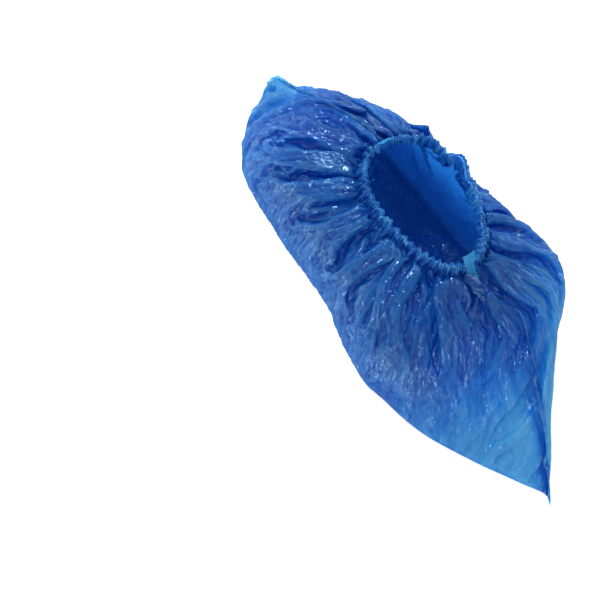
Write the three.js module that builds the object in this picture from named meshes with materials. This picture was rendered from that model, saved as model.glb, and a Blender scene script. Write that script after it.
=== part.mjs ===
// Disposable over-shoe of thin plastic film, standing open as it does round a foot.
// Millimetres. +X runs from heel to toe, +Y is the far side, +Z is up, and the sole lies on z = 0.
// The origin is the middle of the bounding box, on the floor.
//
// The film is one bag, folded along the sole and welded up the heel end and the toe end.
// "share" runs along the film from the heel weld, 0, to the toe weld, 1.
// "climb" runs up the film from the fold under the sole to the mouth.

import * as THREE from 'three';
import { mergeVertices } from 'three/addons/utils/BufferGeometryUtils.js';

// Driving sizes
const HALF_LENGTH = 192;
const HALF_WIDTH = 60;
const RIM_HEIGHT = 84;
const FILM_WALL = 1.6;
const SEAT_GAP = 0.3;

const MOUTH_HALF_LENGTH = 48;
const MOUTH_HALF_WIDTH = 28.5;
const MOUTH_X = -5.5;
const MOUTH_Y = 13;
const MOUTH_EGG = 0.16;
const MOUTH_ROUNDNESS = 0.88;

const HEM_HEIGHT = 6.75;
const HEM_SPLAY = 3.5;
const HEM_FAR_RISE = 7;

const GATHER_COUNT = 30;
const GATHER_DEPTH = 1.5;
const HEM_RUFFLE_DEPTH = 1.8;
const GATHER_FROM = 0.55;
const PLAIN_END = 0.03;
const FULL_FOLDS_FROM = 0.09;

const ELASTIC_DIAMETER = 1.6;

const SEAM_WIDTH = 3.5;
const SEAM_THICKNESS = 1.2;

const TAB_WIDTH = 11;
const TAB_LENGTH = 15;
const TAB_THICKNESS = 1.2;
const TAB_STAND = 3;
const TAB_TAPER = 0.25;

// Fineness of the facets
const COLUMNS_PER_GATHER = 4;
const SOLE_STEPS = 3;
const SIDE_STEPS = [4, 3, 3];
const HEM_STEPS = 3;
const ELASTIC_SIDES = 6;
const ELASTIC_STEPS = 60;
const TAB_STEPS = 4;

// How far into its length a fold already is at the mouth, so that it doesn't start from nothing
const FOLD_HEAD_START = 0.12;

// Share of the side above which the film's outward direction turns level
const LEVEL_FROM = 0.75;

// How far short of each welded end the hollow stops at the sole, as a share of the film's length
const HOLLOW_SETBACK = 0.075;

// Short steps along and up the film, to find which way it faces
const SHARE_STEP = 0.004;
const CLIMB_STEP = 0.02;

// First short step up the side, and how much of the half sole the inner edge may move in
const SIDE_START = 0.06;
const INNER_EDGE_LIMIT = 0.6;

// Half sections of the bag, from the heel weld to the toe weld.
// x columns are shares of HALF_LENGTH, near and far columns of HALF_WIDTH, z columns of RIM_HEIGHT.
// keel is the fold under the sole, edge is where the film leaves the floor,
// belly is half way up the side and shoulder is where it turns in towards the mouth.
const SECTIONS = [
  { share: 0.00, keelX: -1.000, keelY: 0.03,
    edgeX: -1.000, edgeNear: 0.03, edgeFar: 0.03,
    bellyX: -0.800, bellyNear: 0.01, bellyFar: 0.01, bellyZ: 0.46,
    shoulderX: -0.540, shoulderNear: 0.07, shoulderFar: 0.07, shoulderZ: 0.88 },
  { share: 0.05, keelX: -0.900, keelY: 0.00,
    edgeX: -0.920, edgeNear: -0.46, edgeFar: 0.33,
    bellyX: -0.780, bellyNear: -0.29, bellyFar: 0.23, bellyZ: 0.42,
    shoulderX: -0.530, shoulderNear: -0.18, shoulderFar: 0.19, shoulderZ: 0.87 },
  { share: 0.10, keelX: -0.800, keelY: 0.00,
    edgeX: -0.805, edgeNear: -0.76, edgeFar: 0.58,
    bellyX: -0.730, bellyNear: -0.60, bellyFar: 0.46, bellyZ: 0.41,
    shoulderX: -0.505, shoulderNear: -0.42, shoulderFar: 0.31, shoulderZ: 0.87 },
  { share: 0.20, keelX: -0.600, keelY: 0.00,
    edgeX: -0.600, edgeNear: -1.01, edgeFar: 0.80,
    bellyX: -0.570, bellyNear: -0.95, bellyFar: 0.67, bellyZ: 0.43,
    shoulderX: -0.410, shoulderNear: -0.68, shoulderFar: 0.55, shoulderZ: 0.87 },
  { share: 0.35, keelX: -0.300, keelY: 0.00,
    edgeX: -0.310, edgeNear: -1.00, edgeFar: 0.92,
    bellyX: -0.290, bellyNear: -0.95, bellyFar: 0.95, bellyZ: 0.45,
    shoulderX: -0.230, shoulderNear: -0.78, shoulderFar: 0.83, shoulderZ: 0.89 },
  { share: 0.50, keelX: 0.000, keelY: 0.00,
    edgeX: -0.030, edgeNear: -0.92, edgeFar: 0.96,
    bellyX: -0.020, bellyNear: -0.93, bellyFar: 1.07, bellyZ: 0.45,
    shoulderX: -0.010, shoulderNear: -0.78, shoulderFar: 0.92, shoulderZ: 0.89 },
  { share: 0.65, keelX: 0.300, keelY: 0.00,
    edgeX: 0.270, edgeNear: -1.04, edgeFar: 1.12,
    bellyX: 0.270, bellyNear: -0.98, bellyFar: 1.33, bellyZ: 0.46,
    shoulderX: 0.190, shoulderNear: -0.74, shoulderFar: 1.07, shoulderZ: 0.88 },
  { share: 0.72, keelX: 0.440, keelY: 0.00,
    edgeX: 0.410, edgeNear: -0.91, edgeFar: 1.10,
    bellyX: 0.400, bellyNear: -0.82, bellyFar: 1.40, bellyZ: 0.45,
    shoulderX: 0.275, shoulderNear: -0.60, shoulderFar: 1.12, shoulderZ: 0.85 },
  { share: 0.80, keelX: 0.600, keelY: 0.00,
    edgeX: 0.570, edgeNear: -0.76, edgeFar: 0.90,
    bellyX: 0.500, bellyNear: -0.57, bellyFar: 1.06, bellyZ: 0.37,
    shoulderX: 0.360, shoulderNear: -0.42, shoulderFar: 1.07, shoulderZ: 0.78 },
  { share: 0.90, keelX: 0.800, keelY: 0.00,
    edgeX: 0.765, edgeNear: -0.43, edgeFar: 0.50,
    bellyX: 0.590, bellyNear: -0.10, bellyFar: 0.82, bellyZ: 0.34,
    shoulderX: 0.420, shoulderNear: 0.10, shoulderFar: 0.90, shoulderZ: 0.71 },
  { share: 0.95, keelX: 0.900, keelY: 0.00,
    edgeX: 0.880, edgeNear: -0.20, edgeFar: 0.26,
    bellyX: 0.600, bellyNear: 0.20, bellyFar: 0.66, bellyZ: 0.40,
    shoulderX: 0.440, shoulderNear: 0.37, shoulderFar: 0.76, shoulderZ: 0.69 },
  { share: 1.00, keelX: 1.000, keelY: 0.02,
    edgeX: 1.000, edgeNear: 0.02, edgeFar: 0.02,
    bellyX: 0.610, bellyNear: 0.50, bellyFar: 0.50, bellyZ: 0.46,
    shoulderX: 0.450, shoulderNear: 0.60, shoulderFar: 0.60, shoulderZ: 0.68 },
];

// Main folds of the film. top and foot are the fold's place along the film at the mouth and at its
// lower end, reach is how far it climbs down as a share of the side, width is a share of the film's
// length and depth a share of HALF_WIDTH: above 0 a ridge, below 0 a valley.
const FOLDS = [
  { side: 'near', top: 0.08, foot: 0.07, reach: 0.75, width: 0.030, depth: 0.06 },
  { side: 'near', top: 0.14, foot: 0.12, reach: 0.85, width: 0.028, depth: -0.07 },
  { side: 'near', top: 0.20, foot: 0.17, reach: 0.90, width: 0.032, depth: 0.07 },
  { side: 'near', top: 0.27, foot: 0.23, reach: 0.80, width: 0.030, depth: -0.07 },
  { side: 'near', top: 0.34, foot: 0.28, reach: 0.85, width: 0.032, depth: 0.06 },
  { side: 'near', top: 0.43, foot: 0.38, reach: 0.75, width: 0.030, depth: -0.06 },
  { side: 'near', top: 0.52, foot: 0.49, reach: 0.95, width: 0.034, depth: 0.08 },
  { side: 'near', top: 0.61, foot: 0.58, reach: 0.85, width: 0.030, depth: -0.08 },
  { side: 'near', top: 0.69, foot: 0.66, reach: 0.80, width: 0.034, depth: 0.07 },
  { side: 'near', top: 0.78, foot: 0.77, reach: 0.60, width: 0.034, depth: -0.07 },
  { side: 'near', top: 0.87, foot: 0.86, reach: 0.50, width: 0.030, depth: 0.06 },
  { side: 'far', top: 0.12, foot: 0.10, reach: 0.70, width: 0.034, depth: -0.05 },
  { side: 'far', top: 0.24, foot: 0.21, reach: 0.80, width: 0.036, depth: 0.05 },
  { side: 'far', top: 0.36, foot: 0.34, reach: 0.75, width: 0.034, depth: -0.06 },
  { side: 'far', top: 0.50, foot: 0.49, reach: 0.80, width: 0.036, depth: 0.05 },
  { side: 'far', top: 0.62, foot: 0.61, reach: 0.70, width: 0.034, depth: -0.07 },
  { side: 'far', top: 0.75, foot: 0.76, reach: 0.65, width: 0.040, depth: 0.06 },
  { side: 'far', top: 0.86, foot: 0.88, reach: 0.55, width: 0.034, depth: -0.06 },
];

// Materials
const filmMaterial = new THREE.MeshStandardMaterial({ color: 0x2f7fd6, roughness: 0.32, metalness: 0 });
const hemMaterial = new THREE.MeshStandardMaterial({ color: 0x1f66cf, roughness: 0.35, metalness: 0 });
const elasticMaterial = new THREE.MeshStandardMaterial({ color: 0x6fb4ee, roughness: 0.6, metalness: 0 });
const seamMaterial = new THREE.MeshStandardMaterial({ color: 0x2a74cf, roughness: 0.3, metalness: 0 });
const tabMaterial = new THREE.MeshStandardMaterial({ color: 0x36b4de, roughness: 0.4, metalness: 0 });

// Smooth value of one column of SECTIONS at a place along the film.
// A cubic with the slope of its neighbours, flattened where the values turn, so it never overshoots.
function sectionValue(column, share) {
  const last = SECTIONS.length - 1;
  let row = 0;
  while (row < last - 1 && share > SECTIONS[row + 1].share) row += 1;
  const slopeBetween = (i) =>
    (SECTIONS[i + 1][column] - SECTIONS[i][column]) / (SECTIONS[i + 1].share - SECTIONS[i].share);
  const slopeAt = (i) => {
    if (i === 0) return slopeBetween(0);
    if (i === last) return slopeBetween(last - 1);
    const before = slopeBetween(i - 1);
    const after = slopeBetween(i);
    return before * after > 0 ? (2 * before * after) / (before + after) : 0;
  };
  const span = SECTIONS[row + 1].share - SECTIONS[row].share;
  const t = (share - SECTIONS[row].share) / span;
  const t2 = t * t;
  const t3 = t2 * t;
  return (2 * t3 - 3 * t2 + 1) * SECTIONS[row][column]
    + (t3 - 2 * t2 + t) * span * slopeAt(row)
    + (3 * t2 - 2 * t3) * SECTIONS[row + 1][column]
    + (t3 - t2) * span * slopeAt(row + 1);
}

// Point of an egg-shaped loop round the mouth, grown outwards by "grow", at height z
function mouthPoint(share, sideSign, grow, z) {
  const angle = Math.PI * (1 - share);
  const c = Math.cos(angle);
  const s = Math.sin(angle);
  const reach = (MOUTH_HALF_LENGTH + grow) * Math.sign(c) * Math.abs(c) ** MOUTH_ROUNDNESS;
  const egg = 1 - MOUTH_EGG * c;
  const across = (MOUTH_HALF_WIDTH + grow) * egg * Math.abs(s) ** MOUTH_ROUNDNESS;
  return new THREE.Vector3(MOUTH_X + reach, MOUTH_Y + sideSign * across, z);
}

// Height of the mouth's free edge: the far side stands up higher than the near side
function mouthEdgeHeight(share, sideSign) {
  const far = sideSign > 0 ? Math.sin(Math.PI * share) : 0;
  return RIM_HEIGHT + HEM_HEIGHT + HEM_FAR_RISE * far;
}

// One rib of the bare bag on one side: its flat stretch on the floor, then the curve up to the mouth
function ribAt(share, sideSign) {
  const sideName = sideSign < 0 ? 'Near' : 'Far';
  const x = (name) => sectionValue(name, share) * HALF_LENGTH;
  const y = (name) => sectionValue(name, share) * HALF_WIDTH;
  const z = (name) => sectionValue(name, share) * RIM_HEIGHT;
  const keel = new THREE.Vector3(x('keelX'), y('keelY'), 0);
  const edge = new THREE.Vector3(x('edgeX'), y('edge' + sideName), 0);
  const belly = new THREE.Vector3(x('bellyX'), y('belly' + sideName), z('bellyZ'));
  const shoulder = new THREE.Vector3(x('shoulderX'), y('shoulder' + sideName), z('shoulderZ'));
  const rim = mouthPoint(share, sideSign, HEM_SPLAY, RIM_HEIGHT);
  const curve = new THREE.CatmullRomCurve3([edge, belly, shoulder, rim], false, 'catmullrom', 0.5);
  return { keel, edge, curve };
}

// Rows up the bag: flat ones over the sole, then the side. Each row is { sole } or { side }, 0 to 1.
const FILM_ROWS = [];
for (let i = 0; i < SOLE_STEPS; i += 1) FILM_ROWS.push({ sole: i / SOLE_STEPS });
SIDE_STEPS.forEach((steps, span) => {
  for (let i = 0; i < steps; i += 1) FILM_ROWS.push({ side: (span + i / steps) / SIDE_STEPS.length });
});
FILM_ROWS.push({ side: 1 });

function barePoint(share, sideSign, row) {
  const rib = ribAt(share, sideSign);
  if (row.sole !== undefined) return rib.keel.clone().lerp(rib.edge, row.sole);
  const point = rib.curve.getPoint(row.side);
  point.z = Math.max(point.z, 0);
  return point;
}

// Outward direction of the bare bag, from two short steps along it
function bareNormal(share, sideSign, row) {
  const before = barePoint(Math.max(share - SHARE_STEP, 0), sideSign, row);
  const after = barePoint(Math.min(share + SHARE_STEP, 1), sideSign, row);
  const along = after.sub(before);
  const isSole = row.sole !== undefined;
  const at = isSole ? row.sole : row.side;
  const low = Math.max(at - CLIMB_STEP, 0);
  const high = Math.min(at + CLIMB_STEP, 1);
  const lower = barePoint(share, sideSign, isSole ? { sole: low } : { side: low });
  const upper = barePoint(share, sideSign, isSole ? { sole: high } : { side: high });
  const up = upper.sub(lower);
  const normal = sideSign < 0 ? along.cross(up) : up.cross(along);
  return normal.lengthSq() > 1e-12 ? normal.normalize() : new THREE.Vector3(0, 0, 1);
}

const smooth = (low, high, value) => THREE.MathUtils.smoothstep(value, low, high);

// The gathers are a wave along the film, and both they and the folds fade out beside the welds
const gatherWave = (share) => -Math.cos(Math.PI * GATHER_COUNT * share);
const endFade = (share) => smooth(PLAIN_END, FULL_FOLDS_FROM, Math.min(share, 1 - share));

// How far the film stands out from the bare bag: gathers that die away down the side, and the folds
function foldOut(share, sideSign, row) {
  if (row.sole !== undefined) return 0;
  const climb = row.side;
  let out = GATHER_DEPTH * smooth(GATHER_FROM, 1, climb) * gatherWave(share);
  for (const fold of FOLDS) {
    if ((fold.side === 'near') !== (sideSign < 0)) continue;
    const down = (1 - climb) / fold.reach;
    if (down >= 1) continue;
    const centre = THREE.MathUtils.lerp(fold.top, fold.foot, down);
    const away = Math.abs(share - centre) / fold.width;
    if (away >= 1) continue;
    const across = 0.5 + 0.5 * Math.cos(Math.PI * away);
    const along = Math.sin(Math.PI * Math.min(down + FOLD_HEAD_START, 1));
    out += fold.depth * HALF_WIDTH * across * along;
  }
  return out * endFade(share);
}

// Round the bag once: the near side from heel to toe, then the far side back to the heel
const COLUMNS_A_SIDE = (GATHER_COUNT * COLUMNS_PER_GATHER) / 2;
const COLUMNS = [];
for (let i = 0; i <= COLUMNS_A_SIDE; i += 1) COLUMNS.push({ share: i / COLUMNS_A_SIDE, sideSign: -1 });
for (let i = COLUMNS_A_SIDE - 1; i > 0; i -= 1) COLUMNS.push({ share: i / COLUMNS_A_SIDE, sideSign: 1 });

const atWeld = (share) => share === 0 || share === 1;

// Outward direction at a column; on a weld it is the mean of the two sides.
// Towards the mouth it turns level, so that the film ends flat under the hem.
function columnNormal(column, row) {
  const { share, sideSign } = column;
  const normal = bareNormal(share, sideSign, row);
  if (atWeld(share)) {
    normal.copy(bareNormal(share, -1, row)).add(bareNormal(share, 1, row));
    if (normal.lengthSq() < 1e-9) normal.set(Math.sign(share - 0.5), 0, 0);
    normal.normalize();
  }
  const level = row.side === undefined ? 0 : smooth(LEVEL_FROM, 1, row.side);
  return normal.lerp(hemNormal(column), level).normalize();
}

function outerPoint(column, row) {
  const point = barePoint(column.share, column.sideSign, row);
  point.addScaledVector(columnNormal(column, row), foldOut(column.share, column.sideSign, row));
  return point.setZ(Math.max(point.z, 0));
}

// Where the film leaves the floor the two inner faces meet further in, by the wall over the tangent
// of half the angle between the sole and the side
function innerEdgePoint(share, sideSign) {
  const rib = ribAt(share, sideSign);
  const inward = rib.keel.clone().sub(rib.edge);
  const halfSole = inward.length();
  const upward = rib.curve.getPoint(SIDE_START).sub(rib.edge);
  const reach = FILM_WALL / Math.tan(inward.angleTo(upward) / 2);
  inward.setLength(Math.min(reach, INNER_EDGE_LIMIT * halfSole));
  return rib.edge.clone().add(inward).setZ(FILM_WALL);
}

function innerSidePoint(share, sideSign, row) {
  if (row.sole !== undefined) {
    const rib = ribAt(share, sideSign);
    return rib.keel.clone().lerp(innerEdgePoint(share, sideSign), row.sole).setZ(FILM_WALL);
  }
  if (row.side === 0) return innerEdgePoint(share, sideSign);
  const out = foldOut(share, sideSign, row) - FILM_WALL;
  const column = { share, sideSign };
  const point = barePoint(share, sideSign, row).addScaledVector(columnNormal(column, row), out);
  return point.setZ(Math.max(point.z, FILM_WALL));
}

// The inner face follows the outer one a wall's thickness in, and stops short of the welded ends,
// where it ends on the line half way between the two sides
function innerPoint(column, row) {
  const climb = row.sole !== undefined ? 0 : row.side;
  const setback = HOLLOW_SETBACK * (1 - climb);
  const share = THREE.MathUtils.lerp(setback, 1 - setback, column.share);
  if (!atWeld(column.share)) return innerSidePoint(share, column.sideSign, row);
  return innerSidePoint(share, -1, row).lerp(innerSidePoint(share, 1, row), 0.5);
}

// Triangles between two rows of points that run the same way round
function stitch(triangles, lower, upper, closed) {
  const count = closed ? lower.length : lower.length - 1;
  for (let i = 0; i < count; i += 1) {
    const j = (i + 1) % lower.length;
    triangles.push([lower[i], lower[j], upper[j]], [lower[i], upper[j], upper[i]]);
  }
}

function meshFromTriangles(name, triangles, material) {
  const positions = [];
  for (const triangle of triangles) {
    const [a, b, c] = triangle;
    const doubled = b.clone().sub(a).cross(c.clone().sub(a)).length();
    if (doubled < 1e-7) continue;
    for (const point of triangle) positions.push(point.x, point.y, point.z);
  }
  const geometry = new THREE.BufferGeometry();
  geometry.setAttribute('position', new THREE.Float32BufferAttribute(positions, 3));
  const merged = mergeVertices(geometry, 1e-4);
  merged.computeVertexNormals();
  const mesh = new THREE.Mesh(merged, material);
  mesh.name = name;
  return mesh;
}

// A closed wall between an outer and an inner grid of points, both rows running the same way round
function wallTriangles(outerRows, innerRows, closedBottom) {
  const triangles = [];
  const last = outerRows.length - 1;
  for (let r = 0; r < last; r += 1) {
    stitch(triangles, outerRows[r], outerRows[r + 1], true);
    stitch(triangles, innerRows[r + 1], innerRows[r], true);
  }
  stitch(triangles, outerRows[last], innerRows[last], true);
  if (!closedBottom) stitch(triangles, innerRows[0], outerRows[0], true);
  return triangles;
}

function filmBody() {
  const outerRows = FILM_ROWS.map((row) => COLUMNS.map((column) => outerPoint(column, row)));
  const innerRows = FILM_ROWS.map((row) => COLUMNS.map((column) => innerPoint(column, row)));
  return meshFromTriangles('film_body', wallTriangles(outerRows, innerRows, true), filmMaterial);
}

// The hem runs on from the film's rim to the free edge of the mouth
function hemPoint(column, climb, inset) {
  const { share, sideSign } = column;
  const edgeZ = mouthEdgeHeight(share, sideSign);
  const start = RIM_HEIGHT + SEAT_GAP;
  const z = THREE.MathUtils.lerp(start, edgeZ, climb);
  const grow = THREE.MathUtils.lerp(HEM_SPLAY, 0, climb);
  const point = mouthPoint(share, sideSign, grow, z);
  const outward = hemNormal(column);
  const depth = THREE.MathUtils.lerp(GATHER_DEPTH, HEM_RUFFLE_DEPTH, climb);
  const ruffle = depth * endFade(share) * gatherWave(share);
  return point.addScaledVector(outward, ruffle - inset);
}

// Level outward direction of the mouth's loop
function hemNormal(column) {
  const { share, sideSign } = column;
  if (atWeld(share)) return new THREE.Vector3(share === 0 ? -1 : 1, 0, 0);
  const before = mouthPoint(Math.max(share - SHARE_STEP, 0), sideSign, 0, 0);
  const after = mouthPoint(Math.min(share + SHARE_STEP, 1), sideSign, 0, 0);
  const along = after.sub(before);
  return new THREE.Vector3(along.y, -along.x, 0).multiplyScalar(-sideSign).normalize();
}

function hemBand() {
  const climbs = Array.from({ length: HEM_STEPS + 1 }, (_, i) => i / HEM_STEPS);
  const outerRows = climbs.map((climb) => COLUMNS.map((column) => hemPoint(column, climb, 0)));
  const innerRows = climbs.map((climb) => COLUMNS.map((column) => hemPoint(column, climb, FILM_WALL)));
  return meshFromTriangles('hem_band', wallTriangles(outerRows, innerRows, false), hemMaterial);
}

// The elastic lies inside the hem, just under the free edge, against the inner crests of the ruffles
function elasticThread() {
  const radius = ELASTIC_DIAMETER / 2;
  const inset = HEM_RUFFLE_DEPTH + FILM_WALL + SEAT_GAP + radius;
  const steps = ELASTIC_STEPS / 2;
  const rings = [];
  const columns = [];
  for (let i = 0; i <= steps; i += 1) columns.push({ share: i / steps, sideSign: -1 });
  for (let i = steps - 1; i > 0; i -= 1) columns.push({ share: i / steps, sideSign: 1 });
  for (let k = 0; k < ELASTIC_SIDES; k += 1) {
    const angle = (2 * Math.PI * k) / ELASTIC_SIDES;
    rings.push(columns.map((column) => {
      const z = mouthEdgeHeight(column.share, column.sideSign) - ELASTIC_DIAMETER;
      const centre = mouthPoint(column.share, column.sideSign, 0, z);
      const level = -inset + radius * Math.cos(angle);
      return centre.addScaledVector(hemNormal(column), level).setZ(z + radius * Math.sin(angle));
    }));
  }
  const triangles = [];
  rings.forEach((ring, k) => stitch(triangles, ring, rings[(k + 1) % ELASTIC_SIDES], true));
  return meshFromTriangles('elastic_thread', triangles, elasticMaterial);
}

// A welded seam: a thin strip that stands out from the weld, from above the corner to below the tab
function weldSeam(name, share) {
  const column = { share, sideSign: -1 };
  const rows = FILM_ROWS.filter((row) => row.side > 0 && row.side < 1);
  const half = SEAM_THICKNESS / 2;
  const loops = rows.map((row, index) => {
    const here = outerPoint(column, row);
    const next = outerPoint(column, rows[Math.min(index + 1, rows.length - 1)]);
    const previous = outerPoint(column, rows[Math.max(index - 1, 0)]);
    const along = next.sub(previous).normalize();
    const outward = columnNormal(column, row);
    outward.z = Math.max(outward.z, 0);
    outward.addScaledVector(along, -outward.dot(along)).normalize();
    const across = along.clone().cross(outward);
    const corner = (out, sideways) => {
      const foot = here.clone().addScaledVector(outward, out);
      return foot.addScaledVector(across, sideways);
    };
    return [
      corner(SEAT_GAP, -half),
      corner(SEAT_GAP + SEAM_WIDTH, -half),
      corner(SEAT_GAP + SEAM_WIDTH, half),
      corner(SEAT_GAP, half),
    ];
  });
  const triangles = [];
  for (let r = 0; r < loops.length - 1; r += 1) stitch(triangles, loops[r], loops[r + 1], true);
  const first = loops[0];
  const end = loops[loops.length - 1];
  triangles.push([first[0], first[2], first[1]], [first[0], first[3], first[2]]);
  triangles.push([end[0], end[1], end[2]], [end[0], end[2], end[3]]);
  return meshFromTriangles(name, triangles, seamMaterial);
}

// An embossed weld patch against the outside of the hem. It stands above the free edge and reaches
// down past the rim onto the film, so its profile is a bent line of four points, kept off by a gap.
function weldTab(name, share) {
  const column = { share, sideSign: -1 };
  const outward = hemNormal(column);
  const edge = mouthPoint(share, -1, 0, mouthEdgeHeight(share, -1));
  const rim = mouthPoint(share, -1, HEM_SPLAY, RIM_HEIGHT);
  const film = outerPoint(column, FILM_ROWS[FILM_ROWS.length - 2]).setY(rim.y);
  const top = edge.clone().setZ(edge.z + TAB_STAND);
  const left = TAB_LENGTH - TAB_STAND - edge.distanceTo(rim);
  const foot = rim.clone().add(film.sub(rim).setLength(left));
  const profile = [top, edge, rim, foot];
  const sideways = new THREE.Vector3(0, outward.x, 0);
  const facing = profile.slice(1).map((point, i) => {
    const down = point.clone().sub(profile[i]);
    return down.cross(sideways).normalize();
  });
  const normals = profile.map((point, i) => {
    const before = facing[Math.max(i - 1, 0)];
    const after = facing[Math.min(i, facing.length - 1)];
    const mean = before.clone().add(after).normalize();
    return mean.divideScalar(mean.dot(after));
  });
  const sheet = (out) => profile.map((point, i) => {
    const width = TAB_WIDTH * (1 - (TAB_TAPER * i) / (profile.length - 1));
    return Array.from({ length: TAB_STEPS + 1 }, (_, j) => {
      const off = (j / TAB_STEPS - 0.5) * width;
      return point.clone().addScaledVector(normals[i], out).addScaledVector(sideways, off);
    });
  });
  const back = sheet(SEAT_GAP);
  const front = sheet(SEAT_GAP + TAB_THICKNESS);
  const last = profile.length - 1;
  const triangles = [];
  for (let i = 0; i < last; i += 1) {
    stitch(triangles, front[i + 1], front[i], false);
    stitch(triangles, back[i], back[i + 1], false);
  }
  stitch(triangles, front[0], back[0], false);
  stitch(triangles, back[last], front[last], false);
  const firstOf = (grid) => grid.map((line) => line[0]);
  const lastOf = (grid) => grid.map((line) => line[TAB_STEPS]);
  stitch(triangles, firstOf(back), firstOf(front), false);
  stitch(triangles, lastOf(front), lastOf(back), false);
  return meshFromTriangles(name, triangles, tabMaterial);
}

const shoeCover = new THREE.Group();
shoeCover.add(
  filmBody(),
  hemBand(),
  elasticThread(),
  weldSeam('heel_seam', 0),
  weldSeam('toe_seam', 1),
  weldTab('heel_tab', 0),
  weldTab('toe_tab', 1),
);

// Stand the whole on the origin: the middle of its box, on the floor
const box = new THREE.Box3().setFromObject(shoeCover);
const middle = box.getCenter(new THREE.Vector3());
shoeCover.position.set(-middle.x, -middle.y, -box.min.z);

export default shoeCover;
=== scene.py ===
# %% [markdown]
# A disposable over-shoe of thin blue plastic film, standing open as it does round a foot.
# The real thing is one bag: a sheet about 400 mm by 340 mm, folded along the sole, welded up the heel end
# and the toe end, with a rubber thread in the hem that draws its mouth in to about a third.
# The solid model fixes where everything lies. Here each soft solid gets a fine surface in its place.

import bpy
import numpy as np
from mathutils import Matrix, Vector


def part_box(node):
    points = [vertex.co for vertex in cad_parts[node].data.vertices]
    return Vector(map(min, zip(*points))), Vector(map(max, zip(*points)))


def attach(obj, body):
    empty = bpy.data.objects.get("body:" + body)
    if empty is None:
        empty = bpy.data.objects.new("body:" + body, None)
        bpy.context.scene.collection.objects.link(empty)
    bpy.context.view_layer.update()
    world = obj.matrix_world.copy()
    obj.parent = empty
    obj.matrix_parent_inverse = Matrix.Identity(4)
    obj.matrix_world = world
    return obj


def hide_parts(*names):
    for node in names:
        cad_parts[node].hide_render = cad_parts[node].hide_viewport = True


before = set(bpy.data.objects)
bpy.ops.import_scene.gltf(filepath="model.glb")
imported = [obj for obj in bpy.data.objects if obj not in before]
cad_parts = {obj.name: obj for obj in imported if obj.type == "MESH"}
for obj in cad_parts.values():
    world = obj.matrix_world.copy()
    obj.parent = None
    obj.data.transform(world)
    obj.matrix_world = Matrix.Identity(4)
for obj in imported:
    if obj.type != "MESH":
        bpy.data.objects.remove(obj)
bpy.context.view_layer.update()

# %% [markdown]
# The camera comes first, because every later choice is judged through it. A photograph taken from above
# is matched by a camera placed in the object's own frame. Its three directions are written as rows of
# right, up and back, and the focal length follows from the picture's width in pixels.

# %% Camera
PICTURE_WIDTH_PX = 600
FOCAL_PX = 640
SENSOR_MM = 36.0
CAMERA_PLACE = (0.1230, -0.1584, 0.4400)
CAMERA_RIGHT = (0.4892, 0.8722, 0.0)
CAMERA_UP = (-0.8208, 0.4603, 0.3382)

camera_data = bpy.data.cameras.new("camera")
camera_data.sensor_width = SENSOR_MM
camera_data.lens = SENSOR_MM * FOCAL_PX / PICTURE_WIDTH_PX
camera = bpy.data.objects.new("camera", camera_data)
right = Vector(CAMERA_RIGHT).normalized()
up = Vector(CAMERA_UP).normalized()
back = right.cross(up)
turn = Matrix((right, up, back)).transposed().to_4x4()
camera.matrix_world = Matrix.Translation(CAMERA_PLACE) @ turn
bpy.context.scene.collection.objects.link(camera)
bpy.context.scene.camera = camera
print("camera at", CAMERA_PLACE, "lens", round(camera_data.lens, 1), "mm")

# %% [markdown]
# A grid of points becomes a mesh through one helper. It takes the points as an array and the faces as an
# array of four indices each, and foreach_set writes both at once, which is far quicker than a loop.

# %% Mesh helpers
def make_mesh(name, points, faces, uv=None):
    """Mesh object from an (n, 3) array of points and an (m, 4) array of corner indices, smooth shaded."""
    mesh = bpy.data.meshes.new(name)
    points = np.ascontiguousarray(points, dtype=np.float32).reshape(-1, 3)
    faces = np.ascontiguousarray(faces, dtype=np.int32).reshape(-1, 4)
    mesh.vertices.add(len(points))
    mesh.vertices.foreach_set("co", points.ravel())
    mesh.loops.add(faces.size)
    mesh.loops.foreach_set("vertex_index", faces.ravel())
    mesh.polygons.add(len(faces))
    mesh.polygons.foreach_set("loop_start", np.arange(len(faces), dtype=np.int32) * 4)
    mesh.update(calc_edges=True)
    mesh.validate()
    mesh.polygons.foreach_set("use_smooth", np.ones(len(mesh.polygons), dtype=bool))
    if uv is not None:
        layer = mesh.uv_layers.new(name="film")
        layer.data.foreach_set("uv", np.asarray(uv, dtype=np.float32)[faces].ravel())
    thing = bpy.data.objects.new(name, mesh)
    bpy.context.scene.collection.objects.link(thing)
    print(name, len(points), "points", len(faces), "faces")
    return thing


def grid_faces(index, closed):
    """Quads between neighbouring rows and columns of an index grid; closed joins last column to first."""
    turned = np.roll(index, -1, axis=1)
    if not closed:
        index = index[:, :-1]
        turned = turned[:, :-1]
    return np.stack([index[:-1], turned[:-1], turned[1:], index[1:]], axis=-1).reshape(-1, 4)


# %% [markdown]
# The bare bag is the same table of half sections as the solid's. Each row gives one rib: the fold under
# the sole, the edge where the film leaves the floor, the belly half way up, the shoulder and the mouth.

# %% Table of half sections
HALF_WIDTH = 0.060
film_low, film_high = (np.array(corner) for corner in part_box("film_body"))
thread_low, thread_high = (np.array(corner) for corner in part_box("elastic_thread"))
HALF_LENGTH = (film_high[0] - film_low[0]) / 2
RIM_HEIGHT = film_high[2]
MOUTH_HALF_LENGTH = 0.048
MOUTH_HALF_WIDTH = 0.0285
MOUTH_X = -0.0055
MOUTH_Y = 0.013
MOUTH_EGG = 0.16
MOUTH_ROUNDNESS = 0.88
HEM_SPLAY = 0.0035
SHIFT_Y = (thread_low[1] + thread_high[1]) / 2 - MOUTH_Y

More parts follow.
